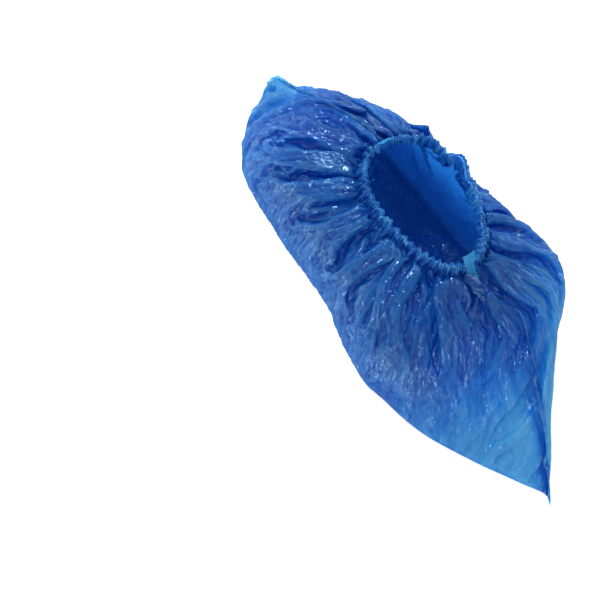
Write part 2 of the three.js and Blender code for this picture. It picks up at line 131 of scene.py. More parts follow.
SECTION_NAMES = (
    "share", "keel_x", "keel_y", "edge_x", "edge_near", "edge_far",
    "belly_x", "belly_near", "belly_far", "belly_z",
    "shoulder_x", "shoulder_near", "shoulder_far", "shoulder_z",
)
SECTIONS = np.array([
    (0.00, -1.000, 0.03, -1.000, 0.03, 0.03, -0.800, 0.01, 0.01, 0.46, -0.540, 0.07, 0.07, 0.88),
    (0.05, -0.900, 0.00, -0.920, -0.46, 0.33, -0.780, -0.29, 0.23, 0.42, -0.530, -0.18, 0.19, 0.87),
    (0.10, -0.800, 0.00, -0.805, -0.76, 0.58, -0.730, -0.60, 0.46, 0.41, -0.505, -0.42, 0.31, 0.87),
    (0.20, -0.600, 0.00, -0.600, -1.01, 0.80, -0.570, -0.95, 0.67, 0.43, -0.410, -0.68, 0.55, 0.87),
    (0.35, -0.300, 0.00, -0.310, -1.00, 0.92, -0.290, -0.95, 0.95, 0.45, -0.230, -0.78, 0.83, 0.89),
    (0.50, 0.000, 0.00, -0.030, -0.92, 0.96, -0.020, -0.93, 1.07, 0.45, -0.010, -0.78, 0.92, 0.89),
    (0.65, 0.300, 0.00, 0.270, -1.04, 1.12, 0.270, -0.98, 1.33, 0.46, 0.190, -0.74, 1.07, 0.88),
    (0.72, 0.440, 0.00, 0.410, -0.91, 1.10, 0.400, -0.82, 1.40, 0.45, 0.275, -0.60, 1.12, 0.85),
    (0.80, 0.600, 0.00, 0.570, -0.76, 0.90, 0.500, -0.57, 1.06, 0.37, 0.360, -0.42, 1.07, 0.78),
    (0.90, 0.800, 0.00, 0.765, -0.43, 0.50, 0.590, -0.10, 0.82, 0.34, 0.420, 0.10, 0.90, 0.71),
    (0.95, 0.900, 0.00, 0.880, -0.20, 0.26, 0.600, 0.20, 0.66, 0.40, 0.440, 0.37, 0.76, 0.69),
    (1.00, 1.000, 0.02, 1.000, 0.02, 0.02, 0.610, 0.50, 0.50, 0.46, 0.450, 0.60, 0.60, 0.68),
])
print("half length", round(HALF_LENGTH, 4), "rim height", round(RIM_HEIGHT, 4), "shift", round(SHIFT_Y, 4))

# %% [markdown]
# Twelve rows are too few for a smooth bag, so each column of the table is joined by cubics. Their slopes are
# chosen so that no curve overshoots its values, and no bump appears where the table has none.

# %% Smooth columns
def section(name, share):
    """Column of the table at each share: a cubic whose slope is the harmonic mean of its neighbours'
    slopes and zero where they differ in sign, so that it never overshoots."""
    places = SECTIONS[:, 0]
    values = SECTIONS[:, SECTION_NAMES.index(name)]
    steps = np.diff(values) / np.diff(places)
    same = steps[:-1] * steps[1:] > 0
    total = np.where(same, steps[:-1] + steps[1:], 1.0)
    slopes = np.concatenate([steps[:1], np.where(same, 2 * steps[:-1] * steps[1:] / total, 0.0), steps[-1:]])
    row = np.clip(np.searchsorted(places, share, side="right") - 1, 0, len(places) - 2)
    span = places[row + 1] - places[row]
    t = (share - places[row]) / span
    return (
        (2 * t**3 - 3 * t**2 + 1) * values[row]
        + (t**3 - 2 * t**2 + t) * span * slopes[row]
        + (3 * t**2 - 2 * t**3) * values[row + 1]
        + (t**3 - t**2) * span * slopes[row + 1]
    )


def mouth_loop(share, side, grow, height):
    """Point of the egg-shaped mouth: an ellipse squared off a little and wider at the heel end."""
    angle = np.pi * (1 - share)
    c = np.cos(angle)
    s = np.sin(angle)
    along = (MOUTH_HALF_LENGTH + grow) * np.sign(c) * np.abs(c) ** MOUTH_ROUNDNESS
    across = (MOUTH_HALF_WIDTH + grow) * (1 - MOUTH_EGG * c) * np.abs(s) ** MOUTH_ROUNDNESS
    x = MOUTH_X + along
    y = MOUTH_Y + SHIFT_Y + side * across
    return np.stack(np.broadcast_arrays(x, y, height), axis=-1)


# %% [markdown]
# A rib is a straight stretch on the floor and a smooth curve up the side. Its points are spread by length,
# so that a row of the grid is a line at one height of the real film, measured up from the fold.

# %% Bare bag
SOLE_SAMPLES = 12
SIDE_SAMPLES = 48


def catmull(points, t):
    """Catmull-Rom curve through points (k, n, 3) at t from 0 to 1, its end points mirrored."""
    first = 2 * points[:1] - points[1:2]
    last = 2 * points[-1:] - points[-2:-1]
    padded = np.concatenate([first, points, last])
    place = t * (len(points) - 1)
    span = np.minimum(place.astype(int), len(points) - 2)
    f = (place - span)[:, None, None]
    p0, p1, p2, p3 = (padded[span + k] for k in range(4))
    return 0.5 * (
        2 * p1 + (p2 - p0) * f + (2 * p0 - 5 * p1 + 4 * p2 - p3) * f**2 + (3 * p1 - p0 - 3 * p2 + p3) * f**3
    )


def bare_ribs(share, side, climb):
    """Bare bag at each climb (rows) and share (columns) of one side: -1 the near side, 1 the far side."""
    which = "near" if side < 0 else "far"
    flat = np.zeros_like(share)

    def table_line(x_name, y_name, z):
        """Line of points along the bag from two columns of the table and a height."""
        x = section(x_name, share) * HALF_LENGTH
        y = section(y_name, share) * HALF_WIDTH + SHIFT_Y
        return np.stack([x, y, z], -1)

    keel = table_line("keel_x", "keel_y", flat)
    edge = table_line("edge_x", "edge_" + which, flat)
    belly = table_line("belly_x", "belly_" + which, section("belly_z", share) * RIM_HEIGHT)
    shoulder = table_line("shoulder_x", "shoulder_" + which, section("shoulder_z", share) * RIM_HEIGHT)
    rim = mouth_loop(share, side, HEM_SPLAY, RIM_HEIGHT + flat)
    sole = keel + np.linspace(0, 1, SOLE_SAMPLES, endpoint=False)[:, None, None] * (edge - keel)
    wall = catmull(np.stack([edge, belly, shoulder, rim]), np.linspace(0, 1, SIDE_SAMPLES))
    wall[..., 2] = np.maximum(wall[..., 2], 0)
    rib = np.concatenate([sole, wall])
    steps = np.linalg.norm(np.diff(rib, axis=0), axis=-1)
    length = np.concatenate([np.zeros((1, len(share))), np.cumsum(steps, axis=0)])
    target = climb[:, None] * length[-1]
    below = np.clip((length[None] <= target[:, None]).sum(axis=1) - 1, 0, len(rib) - 2)
    column_index = np.arange(len(share))
    start = length[below, column_index]
    part = (target - start) / np.maximum(length[below + 1, column_index] - start, 1e-9)
    low = rib[below, column_index]
    high = rib[below + 1, column_index]
    return low + part[..., None] * (high - low)


# %% [markdown]
# The ribs of the near side, from heel to toe, and those of the far side, back from toe to heel, make one
# closed grid: rows go up from the fold under the sole to the mouth, columns go once round the bag.

# %% Grid of the whole bag
COLUMNS_A_SIDE = 416
ROWS = 113
share_side = np.linspace(0, 1, COLUMNS_A_SIDE + 1)
climb = np.linspace(0, 1, ROWS)
share = np.concatenate([share_side, share_side[-2:0:-1]])
side = np.concatenate([-np.ones(COLUMNS_A_SIDE + 1), np.ones(COLUMNS_A_SIDE - 1)])
near = bare_ribs(share_side, -1, climb)
far = bare_ribs(share_side, 1, climb)
bare = np.concatenate([near, far[:, -2:0:-1]], axis=1)
mirror = (2 * COLUMNS_A_SIDE - np.arange(2 * COLUMNS_A_SIDE)) % (2 * COLUMNS_A_SIDE)
print("bare bag grid", bare.shape)

# %% [markdown]
# The film leaves the floor in a round bend, not at a sharp corner. So the rows near the floor are evened out
# along each rib: each point moves a quarter of the way towards its two neighbours, a few times over.

# %% Round bend at the floor
CORNER_HEIGHT = 0.016
CORNER_PASSES = 14
for _ in range(CORNER_PASSES):
    weight = np.clip(1 - bare[1:-1, :, 2:] / CORNER_HEIGHT, 0, 1)
    bare[1:-1] += 0.25 * weight * (bare[:-2] + bare[2:] - 2 * bare[1:-1])
print("rows under", CORNER_HEIGHT * 1000, "mm evened", CORNER_PASSES, "times")

# %% [markdown]
# Crumpled film has no smooth waves. Its creases are sharp and lie at all sizes, so the fields below are
# folded noise: smooth random values whose absolute value leaves a sharp line wherever they cross zero.

# %% Random fields
def value_noise(points, cell, seed):
    """Random values from -1 to 1 on a cubic lattice of that cell size, blended with smooth steps."""
    place = points / cell
    low = np.floor(place).astype(int)
    f = place - low
    f = f * f * (3 - 2 * f)
    low -= low.reshape(-1, points.shape[-1]).min(axis=0)
    size = low.reshape(-1, points.shape[-1]).max(axis=0) + 2
    table = np.random.default_rng(seed).uniform(-1, 1, size=tuple(size))
    total = np.zeros(points.shape[:-1])
    for corner in np.ndindex(2, 2, 2):
        weight = np.prod(np.where(corner, f, 1 - f), axis=-1)
        total += weight * table[tuple(low[..., k] + corner[k] for k in range(3))]
    return total


def creased(points, cell, seed):
    """Folded noise: 1 along a network of sharp creases and falling away to about 0 between them."""
    return 1 - 2 * np.abs(value_noise(points, cell, seed))


def ramp(low, high, value):
    """0 below low, 1 above high, smooth between."""
    t = np.clip((value - low) / (high - low), 0, 1)
    return t * t * (3 - 2 * t)


# %% [markdown]
# Every later step moves points along the direction that stands out from the film. It is the cross product of
# the directions along and up the grid. Near the mouth it is turned level, so that the rim keeps its height.

# %% Outward directions of the bare bag
def outward_of(points):
    """Unit normals of a closed loop of columns, from central differences along and up the bag."""
    along = np.roll(points, -1, axis=1) - np.roll(points, 1, axis=1)
    upward = np.gradient(points, axis=0)
    normal = np.cross(along, upward)
    size = np.linalg.norm(normal, axis=-1, keepdims=True)
    return normal / np.maximum(size, 1e-12)


outward = outward_of(bare)
level = ramp(0.86, 1.0, climb)[:, None, None]
flat_outward = outward * (1, 1, 0)
flat_outward /= np.maximum(np.linalg.norm(flat_outward, axis=-1, keepdims=True), 1e-9)
outward = outward * (1 - level) + flat_outward * level
outward /= np.maximum(np.linalg.norm(outward, axis=-1, keepdims=True), 1e-9)
print("outward at the rim has z", round(float(np.abs(outward[-1, :, 2]).max()), 4))

# %% [markdown]
# The mouth gathers three millimetres of film into one. Near the elastic that is a row of fine pleats. Lower
# down they run together two by two into fewer and deeper folds, until the film is nearly smooth at the sole.
# Each level below is one such set: how many pleats a side has, how deep they are and where they begin.

# %% Gathers
GATHERS = (
    # pleats a side, depth, climb where they start, climb where they are full, share left at the rim
    (60, 0.0013, 0.78, 0.94, 1.0),
    (30, 0.0021, 0.60, 0.84, 1.0),
    (15, 0.0034, 0.46, 0.74, 0.5),
    (8, 0.0042, 0.28, 0.56, 0.15),
)
FLAT_LENGTH = 0.40
FLAT_HEIGHT = 0.17
sheet_x = np.where(side < 0, share, 2 - share)[None] * FLAT_LENGTH
sheet_y = climb[:, None] * FLAT_HEIGHT
film_place = np.stack(np.broadcast_arrays(sheet_x, sheet_y, np.zeros((ROWS, 1))), axis=-1)


def pleats(count, seed):
    """Row of pinched pleats from -1 to 1, their places and depths shifted by slow noise."""
    wander = value_noise(film_place, FLAT_LENGTH / count * 2.5, seed)
    phase = count * film_place[..., 0] / FLAT_LENGTH + 0.45 * wander
    away = np.abs(2 * (phase - np.floor(phase)) - 1)
    height = 0.9 + 0.5 * value_noise(film_place, FLAT_LENGTH / count * 2.0, seed + 1)
    return (1 - 2 * away**0.8) * height


gathers = np.zeros((ROWS, share.size))
for count, depth, start, full, left in GATHERS:
    strength = ramp(start, full, climb) * (1 - (1 - left) * ramp(0.8, 1.0, climb))
    gathers += depth * strength[:, None] * pleats(count, seed=100 + count)
print("gathers reach, mm", round(float(np.abs(gathers).max()) * 1000, 2))

# %% [markdown]
# The main folds are the ones that a viewer counts, so they are placed one by one, as in the solid. A fold
# starts at the mouth and leans as it runs down, and its height dies away at its foot.

# %% Main folds
FOLDS = (
    # side, place at the mouth, place at the foot, reach down the side, half width, height
    (-1, 0.08, 0.07, 0.75, 0.030, 0.06),
    (-1, 0.14, 0.12, 0.85, 0.028, -0.07),
    (-1, 0.20, 0.17, 0.90, 0.032, 0.07),
    (-1, 0.27, 0.23, 0.80, 0.030, -0.07),
    (-1, 0.34, 0.28, 0.85, 0.032, 0.06),
    (-1, 0.43, 0.38, 0.75, 0.030, -0.06),
    (-1, 0.52, 0.49, 0.95, 0.034, 0.08),
    (-1, 0.61, 0.58, 0.85, 0.030, -0.08),
    (-1, 0.69, 0.66, 0.80, 0.034, 0.07),
    (-1, 0.78, 0.77, 0.60, 0.034, -0.07),
    (-1, 0.87, 0.86, 0.50, 0.030, 0.06),
    (1, 0.12, 0.10, 0.70, 0.034, -0.05),
    (1, 0.24, 0.21, 0.80, 0.036, 0.05),
    (1, 0.36, 0.34, 0.75, 0.034, -0.06),
    (1, 0.50, 0.49, 0.80, 0.036, 0.05),
    (1, 0.62, 0.61, 0.70, 0.034, -0.07),
    (1, 0.75, 0.76, 0.65, 0.040, 0.06),
    (1, 0.86, 0.88, 0.55, 0.034, -0.06),
)
SIDE_START = 0.36
FOLD_HEAD_START = 0.12
side_climb = np.clip((climb - SIDE_START) / (1 - SIDE_START), 0, 1)
folds = np.zeros_like(gathers)
for fold_side, top, foot, reach, width, height in FOLDS:
    down = (1 - side_climb[:, None]) / reach
    wander = 0.012 * value_noise(film_place, 0.05, 7)
    centre = top + (foot - top) * down + wander
    away = np.clip(np.abs(share[None] - centre) / width, 0, 1)
    along = np.sin(np.pi * np.clip(down + FOLD_HEAD_START, 0, 1))
    crest = (1 - away) ** 1.4 if height > 0 else (1 - away**1.6) ** 2
    folds += np.where((side == fold_side)[None] & (down < 1), height * HALF_WIDTH * crest * along, 0)
print("folds reach, mm", round(float(np.abs(folds).max()) * 1000, 2))

# %% [markdown]
# A broad crumple gives the settling something to start from. It fades towards the welds, which hold the film
# straight, and is calm over the toe, where the real film is drawn smooth.

# %% Crumple
CRUMPLES = (
    # cell size, depth, seed
    (0.034, 0.0016, 11),
    (0.017, 0.0006, 12),
)
CALM_TOE = 0.30
WELD_FADE = (0.004, 0.05)
CRUMPLE_FREE_HEIGHT = 0.006
CRUMPLE_AT_WELDS = 0.25
over_toe = ramp(0.66, 0.84, share)[None] * ramp(0.80, 0.55, climb)[:, None]
calm = 1 - (1 - CALM_TOE) * over_toe
crumple = calm * sum(depth * creased(bare, cell, seed) for cell, depth, seed in CRUMPLES)
end_fade = ramp(*WELD_FADE, np.minimum(share, 1 - share))[None]
free = ramp(0.0, CRUMPLE_FREE_HEIGHT, bare[..., 2])
stand_out = (gathers + folds) * end_fade + crumple * (CRUMPLE_AT_WELDS + (1 - CRUMPLE_AT_WELDS) * end_fade)
film = bare + outward * (stand_out * free)[..., None]
film[..., 2] = np.maximum(film[..., 2], 0)


def print_reach(title, points):
    """Prints the lowest and the highest corner of the box round the points."""
    flat_points = points.reshape(-1, 3)
    print(title, "from", flat_points.min(axis=0).round(4), "to", flat_points.max(axis=0).round(4))


print_reach("drawn film", film)

# %% [markdown]
# So far the folds are drawn from the tables above. Real film finds its own, because it can bend but hardly
# stretch. So the grid is now settled: every short link between neighbours is moved towards its length in the
# flat sheet, over and over, while the mouth stays drawn in and nothing may leave the space of the solid. The
# spare film near the mouth has nowhere to go but into folds, which branch and pinch as the real ones do. A
# coarse copy of the grid is settled first, because big folds form quickly there, and then finer ones.

# %% Links between neighbours
def link(points, ahead, rest, stiffness):
    """Moves both ends of each link towards its rest length. ahead is the shift (rows, columns) from one
    end to the other; even and odd links take turns, so that no point is moved twice at once."""
    rows, columns = ahead
    step = max(rows, abs(columns))
    axis = 0 if rows else 1
    for turn in range(2):
        tail = np.arange(points.shape[axis])
        tail = tail[(tail // step) % 2 == turn]
        if rows:
            tail = tail[tail + rows < points.shape[0]]
            a = points[tail]
            b = np.roll(points[tail + rows], -columns, axis=1)
            wanted = rest[tail]
        else:
            head = (tail + columns) % points.shape[1]
            a = points[:, tail]
            b = points[:, head]
            wanted = rest[:, tail]
        gap = b - a
        size = np.sqrt((gap * gap).sum(axis=-1))
        move = gap * (0.5 * stiffness * (size - wanted) / np.maximum(size, 1e-9))[..., None]
        if rows:
            points[tail] = a + move
            points[tail + rows] -= np.roll(move, columns, axis=1)
        else:
            points[:, tail] = a + move
            points[:, head] = b - move


def link_length(points, rows, columns):
    """Length of each link of that shift; links past the top row are left out."""
    ends = np.roll(points, -columns, axis=1)[rows:]
    return np.linalg.norm(ends - points[: points.shape[0] - rows], axis=-1)


def halve(points):
    """Grid with a new row and a new column between each two, on cubics through their neighbours."""
    tall = np.empty((2 * points.shape[0] - 1, *points.shape[1:]))
    tall[::2] = points
    tall[1::2] = (points[:-1] + points[1:]) / 2
    tall[3:-3:2] = (9 * (points[1:-2] + points[2:-1]) - points[:-3] - points[3:]) / 16
    wide = np.empty((tall.shape[0], 2 * tall.shape[1], 3))
    wide[:, ::2] = tall
    near_two = tall + np.roll(tall, -1, axis=1)
    far_two = np.roll(tall, 1, axis=1) + np.roll(tall, -2, axis=1)
    wide[:, 1::2] = (9 * near_two - far_two) / 16
    return wide


# %% [markdown]
# Low down, and over most of the toe, the film is drawn smooth, so little of the spare film is let in there.
# No point may leave the bare bag by more than a few millimetres, which keeps the film inside the room of the
# solid, and near the hem the limit is tighter. Links over two and four columns resist bending, so that the
# folds get no finer than real film allows.

# %% Settle the film
MOST_GATHER = 2.5
SPARE_HEIGHT = 1.03
INWARD_LIMIT = 0.0085
OUTWARD_LIMIT = 0.0060
OUTWARD_AT_HEM = 0.35
BEND_STIFFNESS = 0.10
BROAD_REACH = 4
BROAD_STIFFNESS = 0.05
SHEAR_STIFFNESS = 0.30
PULL_TO_BARE = 0.003
SETTLE_LEVELS = (
    # every how many points, rounds
    (4, 420),
    (2, 220),
    (1, 110),
)
LOW_SLACK = 0.06
slack_start = 0.42 + 0.10 * ramp(0.62, 0.85, share)
slack_full = 0.90 + 0.10 * ramp(0.62, 0.85, share)
upper = ramp(slack_start[None], slack_full[None], climb[:, None])
slack = LOW_SLACK * calm + (1 - LOW_SLACK * calm) * upper
rim_held = bare[-1] + outward[-1] * ((gathers + folds) * end_fade)[-1][:, None]


def settle(points, step, rounds):
    """Settles a grid that keeps every step-th row and column of the full one, in place. Gives back how
    many times its own length each link along the bag holds of film."""
    base = bare[::step, ::step]
    out = outward[::step, ::step]
    bare_along = link_length(base, 0, 1)
    whole = np.clip(FLAT_LENGTH / COLUMNS_A_SIDE * step, bare_along, bare_along * MOST_GATHER)
    along = bare_along + (whole - bare_along) * slack[::step, ::step]
    upward = link_length(base, 1, 0) * SPARE_HEIGHT
    cross = np.hypot(along[:-1], upward)
    columns = points.shape[1]
    other = (columns - np.arange(columns)) % columns
    below_hem = ramp(1.0, 0.84, climb[::step])
    most_out = OUTWARD_LIMIT * (OUTWARD_AT_HEM + (1 - OUTWARD_AT_HEM) * below_hem)[:, None]
    for _ in range(rounds):
        link(points, (0, 1), along, 1.0)
        link(points, (1, 0), upward, 1.0)
        link(points, (1, 1), cross, SHEAR_STIFFNESS)
        link(points, (1, -1), cross, SHEAR_STIFFNESS)
        link(points, (0, 2), 2 * along, BEND_STIFFNESS)
        link(points, (0, BROAD_REACH), BROAD_REACH * along, BROAD_STIFFNESS)
        link(points, (2, 0), upward[1:] + upward[:-1], BEND_STIFFNESS)
        proud = ((points - base) * out).sum(axis=-1)
        kept = np.clip(proud, -INWARD_LIMIT, most_out) * (1 - PULL_TO_BARE)
        points += out * (kept - proud)[..., None]
        points[..., 2] = np.maximum(points[..., 2], 0)
        points[-1] = rim_held[::step]
        points[0] = (points[0] + points[0, other]) / 2
    return whole / np.maximum(bare_along, 1e-9)


drawn = film
for step, rounds in SETTLE_LEVELS:
    here = drawn[::step, ::step]
    if step == SETTLE_LEVELS[0][0]:
        film = here.copy()
    else:
        film = halve(film) + here - halve(drawn[:: 2 * step, :: 2 * step])
    gathered = settle(film, step, rounds)
print_reach("settled film", film)

# %% [markdown]
# The film lies flat on the floor and bends up along the edge of the sole. Where that edge runs, and how far
# each point lies from it, is read off the bare bag once, because several of the steps below need it.

# %% Edge of the sole
ON_FLOOR_HEIGHT = 0.0006
lift_row = np.argmax(bare[..., 2] > ON_FLOOR_HEIGHT, axis=0)
sole_edge = bare[lift_row, np.arange(share.size), :2]
edge_distance = np.linalg.norm(bare[..., :2] - sole_edge[None], axis=-1)
on_floor = ramp(ON_FLOOR_HEIGHT, 0.0, bare[..., 2])
print("the film leaves the floor at rows", int(lift_row.min()), "to", int(lift_row.max()))

# %% [markdown]
# Thin film that has been packed flat keeps a fine crumple of small flat facets with sharp edges between
# them. It is added last, along the settled surface, and is stretched a little along the folds.

# %% Fine crumple
FINE_CRUMPLES = (
    # cell size, depth, seed
    (0.015, 0.0005, 21),
    (0.0075, 0.0003, 22),
    (0.0042, 0.0002, 23),
)
STRETCH = np.array([1.0, 0.42, 1.0])
FINE_FREE_HEIGHT = 0.004
FINE_AT_WELDS = 0.3


def rising(start, part):
    """From start where part is 0 to 1 where part is 1: start + (1 - start) times part."""
    return start + (1 - start) * part


free = ramp(0.0, FINE_FREE_HEIGHT, bare[..., 2])
fine = calm * sum(depth * creased(film_place * STRETCH, cell, seed) for cell, depth, seed in FINE_CRUMPLES)
fine *= free * rising(FINE_AT_WELDS, end_fade) * ramp(1.0, 0.9, climb)[:, None]
facing = outward_of(film)
film = film + facing * fine[..., None]
print("fine crumple reaches, mm", round(float(np.abs(fine).max()) * 1000, 2))

# %% [markdown]
# The sharp creases are drawn one by one on the flat sheet. Each is a short straight line with a flat slope
# to either side, and stands up or sinks in. Most run up the film, as the folds do. Low down, where the film
# is hardly gathered, they are shallower.

# %% Creases
CREASE_COUNT = 620
CREASE_PLACE = ((0.02, 0.78), (0.035, 0.160))
CREASE_LEAN = 0.36
CREASE_HALF_LENGTH = (0.006, 0.022)
CREASE_HALF_WIDTH = (0.0016, 0.0042)
CREASE_HEIGHT = (0.00030, 0.00085)
CREASE_TAPER = 0.4
CREASE_SEED = 41
LOW_CREASE_SHARE = 0.45

crease_random = np.random.default_rng(CREASE_SEED)
column_step = film_place[0, 1, 0] - film_place[0, 0, 0]
creases = np.zeros_like(fine)
for _ in range(CREASE_COUNT):
    middle_x, middle_y = (crease_random.uniform(*limits) for limits in CREASE_PLACE)
    lean = crease_random.normal(0, CREASE_LEAN)
    half_length = crease_random.uniform(*CREASE_HALF_LENGTH)
    half_width = crease_random.uniform(*CREASE_HALF_WIDTH)
    tall = crease_random.uniform(*CREASE_HEIGHT) * crease_random.choice((-1, 1))
    reach = half_length + half_width
    first = max(int((middle_x - reach) / column_step), 0)
    part = slice(first, int((middle_x + reach) / column_step) + 2)
    x = film_place[:, part, 0] - middle_x
    y = film_place[:, part, 1] - middle_y
    across = np.abs(x * np.cos(lean) - y * np.sin(lean)) / half_width
    along = np.abs(x * np.sin(lean) + y * np.cos(lean)) / half_length
    roof = np.clip(1 - across - CREASE_TAPER * along, 0, 1)
    creases[:, part] += tall * roof * np.clip(2 * (1 - along), 0, 1)
upper_part = ramp(1.0, 0.93, climb) * rising(LOW_CREASE_SHARE, ramp(0.30, 0.58, climb))
creases *= calm * free * end_fade * upper_part[:, None]
film = film + facing * creases[..., None]
print("creases reach, mm", round(float(np.abs(creases).max()) * 1000, 2))

# %% [markdown]
# Settling leaves the folds a little too round. Each point is pushed away from the mean of its neighbours on
# either side, which pinches the crests and the valleys, as an unsharp mask does in a picture.

# %% Pinched crests
SHARPEN = 0.22
SHARPEN_LIMIT = 0.0010
SHARPEN_REACH = 3


def bend(points, facing, reach):
    """How far the mean of the two neighbours stands out past a point: above 0 in valleys, below on crests."""
    middle = (np.roll(points, reach, axis=1) + np.roll(points, -reach, axis=1)) / 2
    return ((middle - points) * facing).sum(axis=-1)


sharpen = np.clip(SHARPEN * bend(film, facing, SHARPEN_REACH), -SHARPEN_LIMIT, SHARPEN_LIMIT)
sharpen *= free * end_fade * ramp(1.0, 0.93, climb)[:, None]
film = film - facing * sharpen[..., None]
print("crests pinched by up to, mm", round(float(np.abs(sharpen).max()) * 1000, 2))

# %% [markdown]
# The sole isn't ironed flat either. A few long wrinkles stand up from the floor and show through the toe.
# They start a little way in from the edge, so that the outline on the floor stays as it is.

# %% Sole wrinkles
SOLE_WRINKLES = (
    # cell size, height, seed
    (0.030, 0.0026, 25),
    (0.013, 0.0014, 26),
)
SOLE_MARGIN = 0.010
sole_middle = ramp(0.0, SOLE_MARGIN, edge_distance) * on_floor
lift = sum(height * creased(bare, cell, seed) for cell, height, seed in SOLE_WRINKLES)
lift = np.maximum(lift, 0) * sole_middle
film[..., 2] = np.maximum(film[..., 2] + lift, 0)
print("sole wrinkles reach, mm", round(float(lift.max()) * 1000, 2))

# %% [markdown]
# The film is one open sheet, one layer thick, so it is a plain grid of quads. Its two halves share the fold
# under the sole, where the bottom row of one side is the bottom row of the other. The UV map is the place on
# the flat sheet, so every pattern of the finish follows the film into its folds.

# %% Film mesh
index = np.arange(film[..., 0].size).reshape(film.shape[:2])
index[0, COLUMNS_A_SIDE + 1:] = index[0, mirror[COLUMNS_A_SIDE + 1:]]
faces = grid_faces(index, closed=True)
used, faces = np.unique(faces, return_inverse=True)
points = film.reshape(-1, 3)[used]
uv = film_place[..., :2].reshape(-1, 2)[used] / (2 * FLAT_LENGTH, FLAT_HEIGHT)
film_piece = make_mesh("film_bag", points, faces.reshape(-1, 4), uv)
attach(film_piece, "root")
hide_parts("film_body")

# %% [markdown]
# The finish needs to know two things about each point of the film. One is whether the point is on a crest or
# in a valley: crests get a painted highlight, a paler blue, and valleys a painted shade, a deeper blue. The
# other is how much film lies there, because gathered film looks deeper blue. Both are worked out from the
# settled grid and kept on the mesh as attributes.

# %% Crests and valleys: painted highlight and painted shade
VALLEY_SCALE = 0.0007
CREST_REACH = 2
LOW_VALLEY_SHARE = 0.3
CALM_VALLEY_SHARE = 0.4


def set_attribute(piece, name, values):
    """Keeps one number for each point of a mesh under that name."""
    layer = piece.data.attributes.new(name, "FLOAT", "POINT")
    layer.data.foreach_set("value", np.ascontiguousarray(values, dtype=np.float32).ravel())


relief_shade_and_tone = np.clip(bend(film, outward_of(film), CREST_REACH) / VALLEY_SCALE, -1, 1)
relief_shade_and_tone *= rising(LOW_VALLEY_SHARE, ramp(0.30, 0.70, climb)[:, None]) * rising(CALM_VALLEY_SHARE, calm)
# Painted shade in the valleys and painted highlight on the crests of the film.
set_attribute(film_piece, "relief_shade_and_tone", relief_shade_and_tone.reshape(-1)[used])
print("valleys cover", round(float((relief_shade_and_tone > 0).mean()), 2), "of the film")

# %% [markdown]
# How much film lies at a point is a sum of plain reasons: the gathers deepen it towards the mouth, the welds
# are double, and the body between heel and toe is deeper than the two ends. A painted shade also darkens the
# row where the film leaves the floor. A stretch is given by four places along the bag: where it begins, is
# full, starts to fade and ends. A weld is given by the most that it adds and by how far it reaches.

# %% Amount of film, with painted shade at the floor line
BODY_NEAR = (0.02, 0.12, 0.72, 0.90)
BODY_FAR = (0.02, 0.12, 0.60, 0.75)
HEEL_CORNER = (0.00, 0.02, 0.05, 0.16)
FAR_BULGE = (0.56, 0.68, 0.90, 0.97)
UNDER_MOUTH = (0.04, 0.26, 0.62, 0.86)
HIGH_PART = 0.62
HIGH_UNEVEN = 0.35
MOST_GATHERED = 2.4
HEEL_WELD = (0.6, 0.014)
TOE_WELD = (1.0, 0.016)
EDGE_ROWS = 1.3
FLOOR_LINE_SHADE = 0.45
BODY_DEPTH = 0.36
BODY_LIMIT = 0.66
HEEL_CORNER_DEPTH = 0.26
BULGE_CLEARING = 0.65
TOE_DEPTH = 0.10


def stretch_of(places, value):
    """0 before the first place, 1 between the middle two and 0 after the last, smooth between."""
    start, full, fade, end = places
    return ramp(start, full, value) * ramp(end, fade, value)


higher = ramp(0.20, 0.78, climb)[:, None] * (1 + HIGH_UNEVEN * value_noise(film_place, 0.03, 71))
packed = ramp(1.0, MOST_GATHERED, gathered) * ramp(0.25, 0.6, climb)[:, None]
amount_and_painted_light = HIGH_PART * higher + (1 - HIGH_PART) * packed
weld_near = sum(
    most * np.exp(-((away / reach) ** 2))
    for away, (most, reach) in ((share, HEEL_WELD), (1 - share, TOE_WELD))
)
weld_patches = np.clip(0.35 + 0.9 * value_noise(film_place, 0.016, 72), 0, 1)
amount_and_painted_light += weld_near[None] * weld_patches
# Painted shade: a deeper blue along the row where the film leaves the floor.
amount_and_painted_light += FLOOR_LINE_SHADE * np.exp(-(((np.arange(ROWS)[:, None] - lift_row[None]) / EDGE_ROWS) ** 2))
body = np.where(side > 0, stretch_of(BODY_FAR, share), stretch_of(BODY_NEAR, share))
amount_and_painted_light = np.minimum(amount_and_painted_light + BODY_DEPTH * body[None], BODY_LIMIT)
amount_and_painted_light += HEEL_CORNER_DEPTH * stretch_of(HEEL_CORNER, share)[None]
bulge = (stretch_of(FAR_BULGE, share) * (side > 0))[None] * ramp(0.90, 0.72, climb)[:, None]
amount_and_painted_light *= 1 - BULGE_CLEARING * bulge
amount_and_painted_light += TOE_DEPTH * (ramp(0.74, 0.86, share) * (side < 0))[None]
print("film amount from", round(float(amount_and_painted_light.min()), 2), "to", round(float(amount_and_painted_light.max()), 2))

# %% [markdown]
# A worn cover looks dark through its mouth. An empty one would be pale inside, so the sole and the far wall
# under the mouth get a painted shade on purpose, a deeper blue. Both fade out smoothly before the outline.

# %% Painted shade in the mouth
SOLE_PAINTED_SHADE = 1.3
WALL_PAINTED_SHADE = 0.85
WALL_FOOT_PAINTED_SHADE = 0.30
under_mouth = stretch_of(UNDER_MOUTH, share)[None]
inside_edge = np.where(side > 0, 1.0, ramp(0.003, 0.022, edge_distance))
painted_sole_shade = SOLE_PAINTED_SHADE * under_mouth * inside_edge * on_floor
wall_shade = (WALL_PAINTED_SHADE + WALL_FOOT_PAINTED_SHADE * ramp(0.85, 0.45, climb)) * ramp(1.0, 0.90, climb)
painted_wall_shade = under_mouth * (side > 0)[None] * wall_shade[:, None]
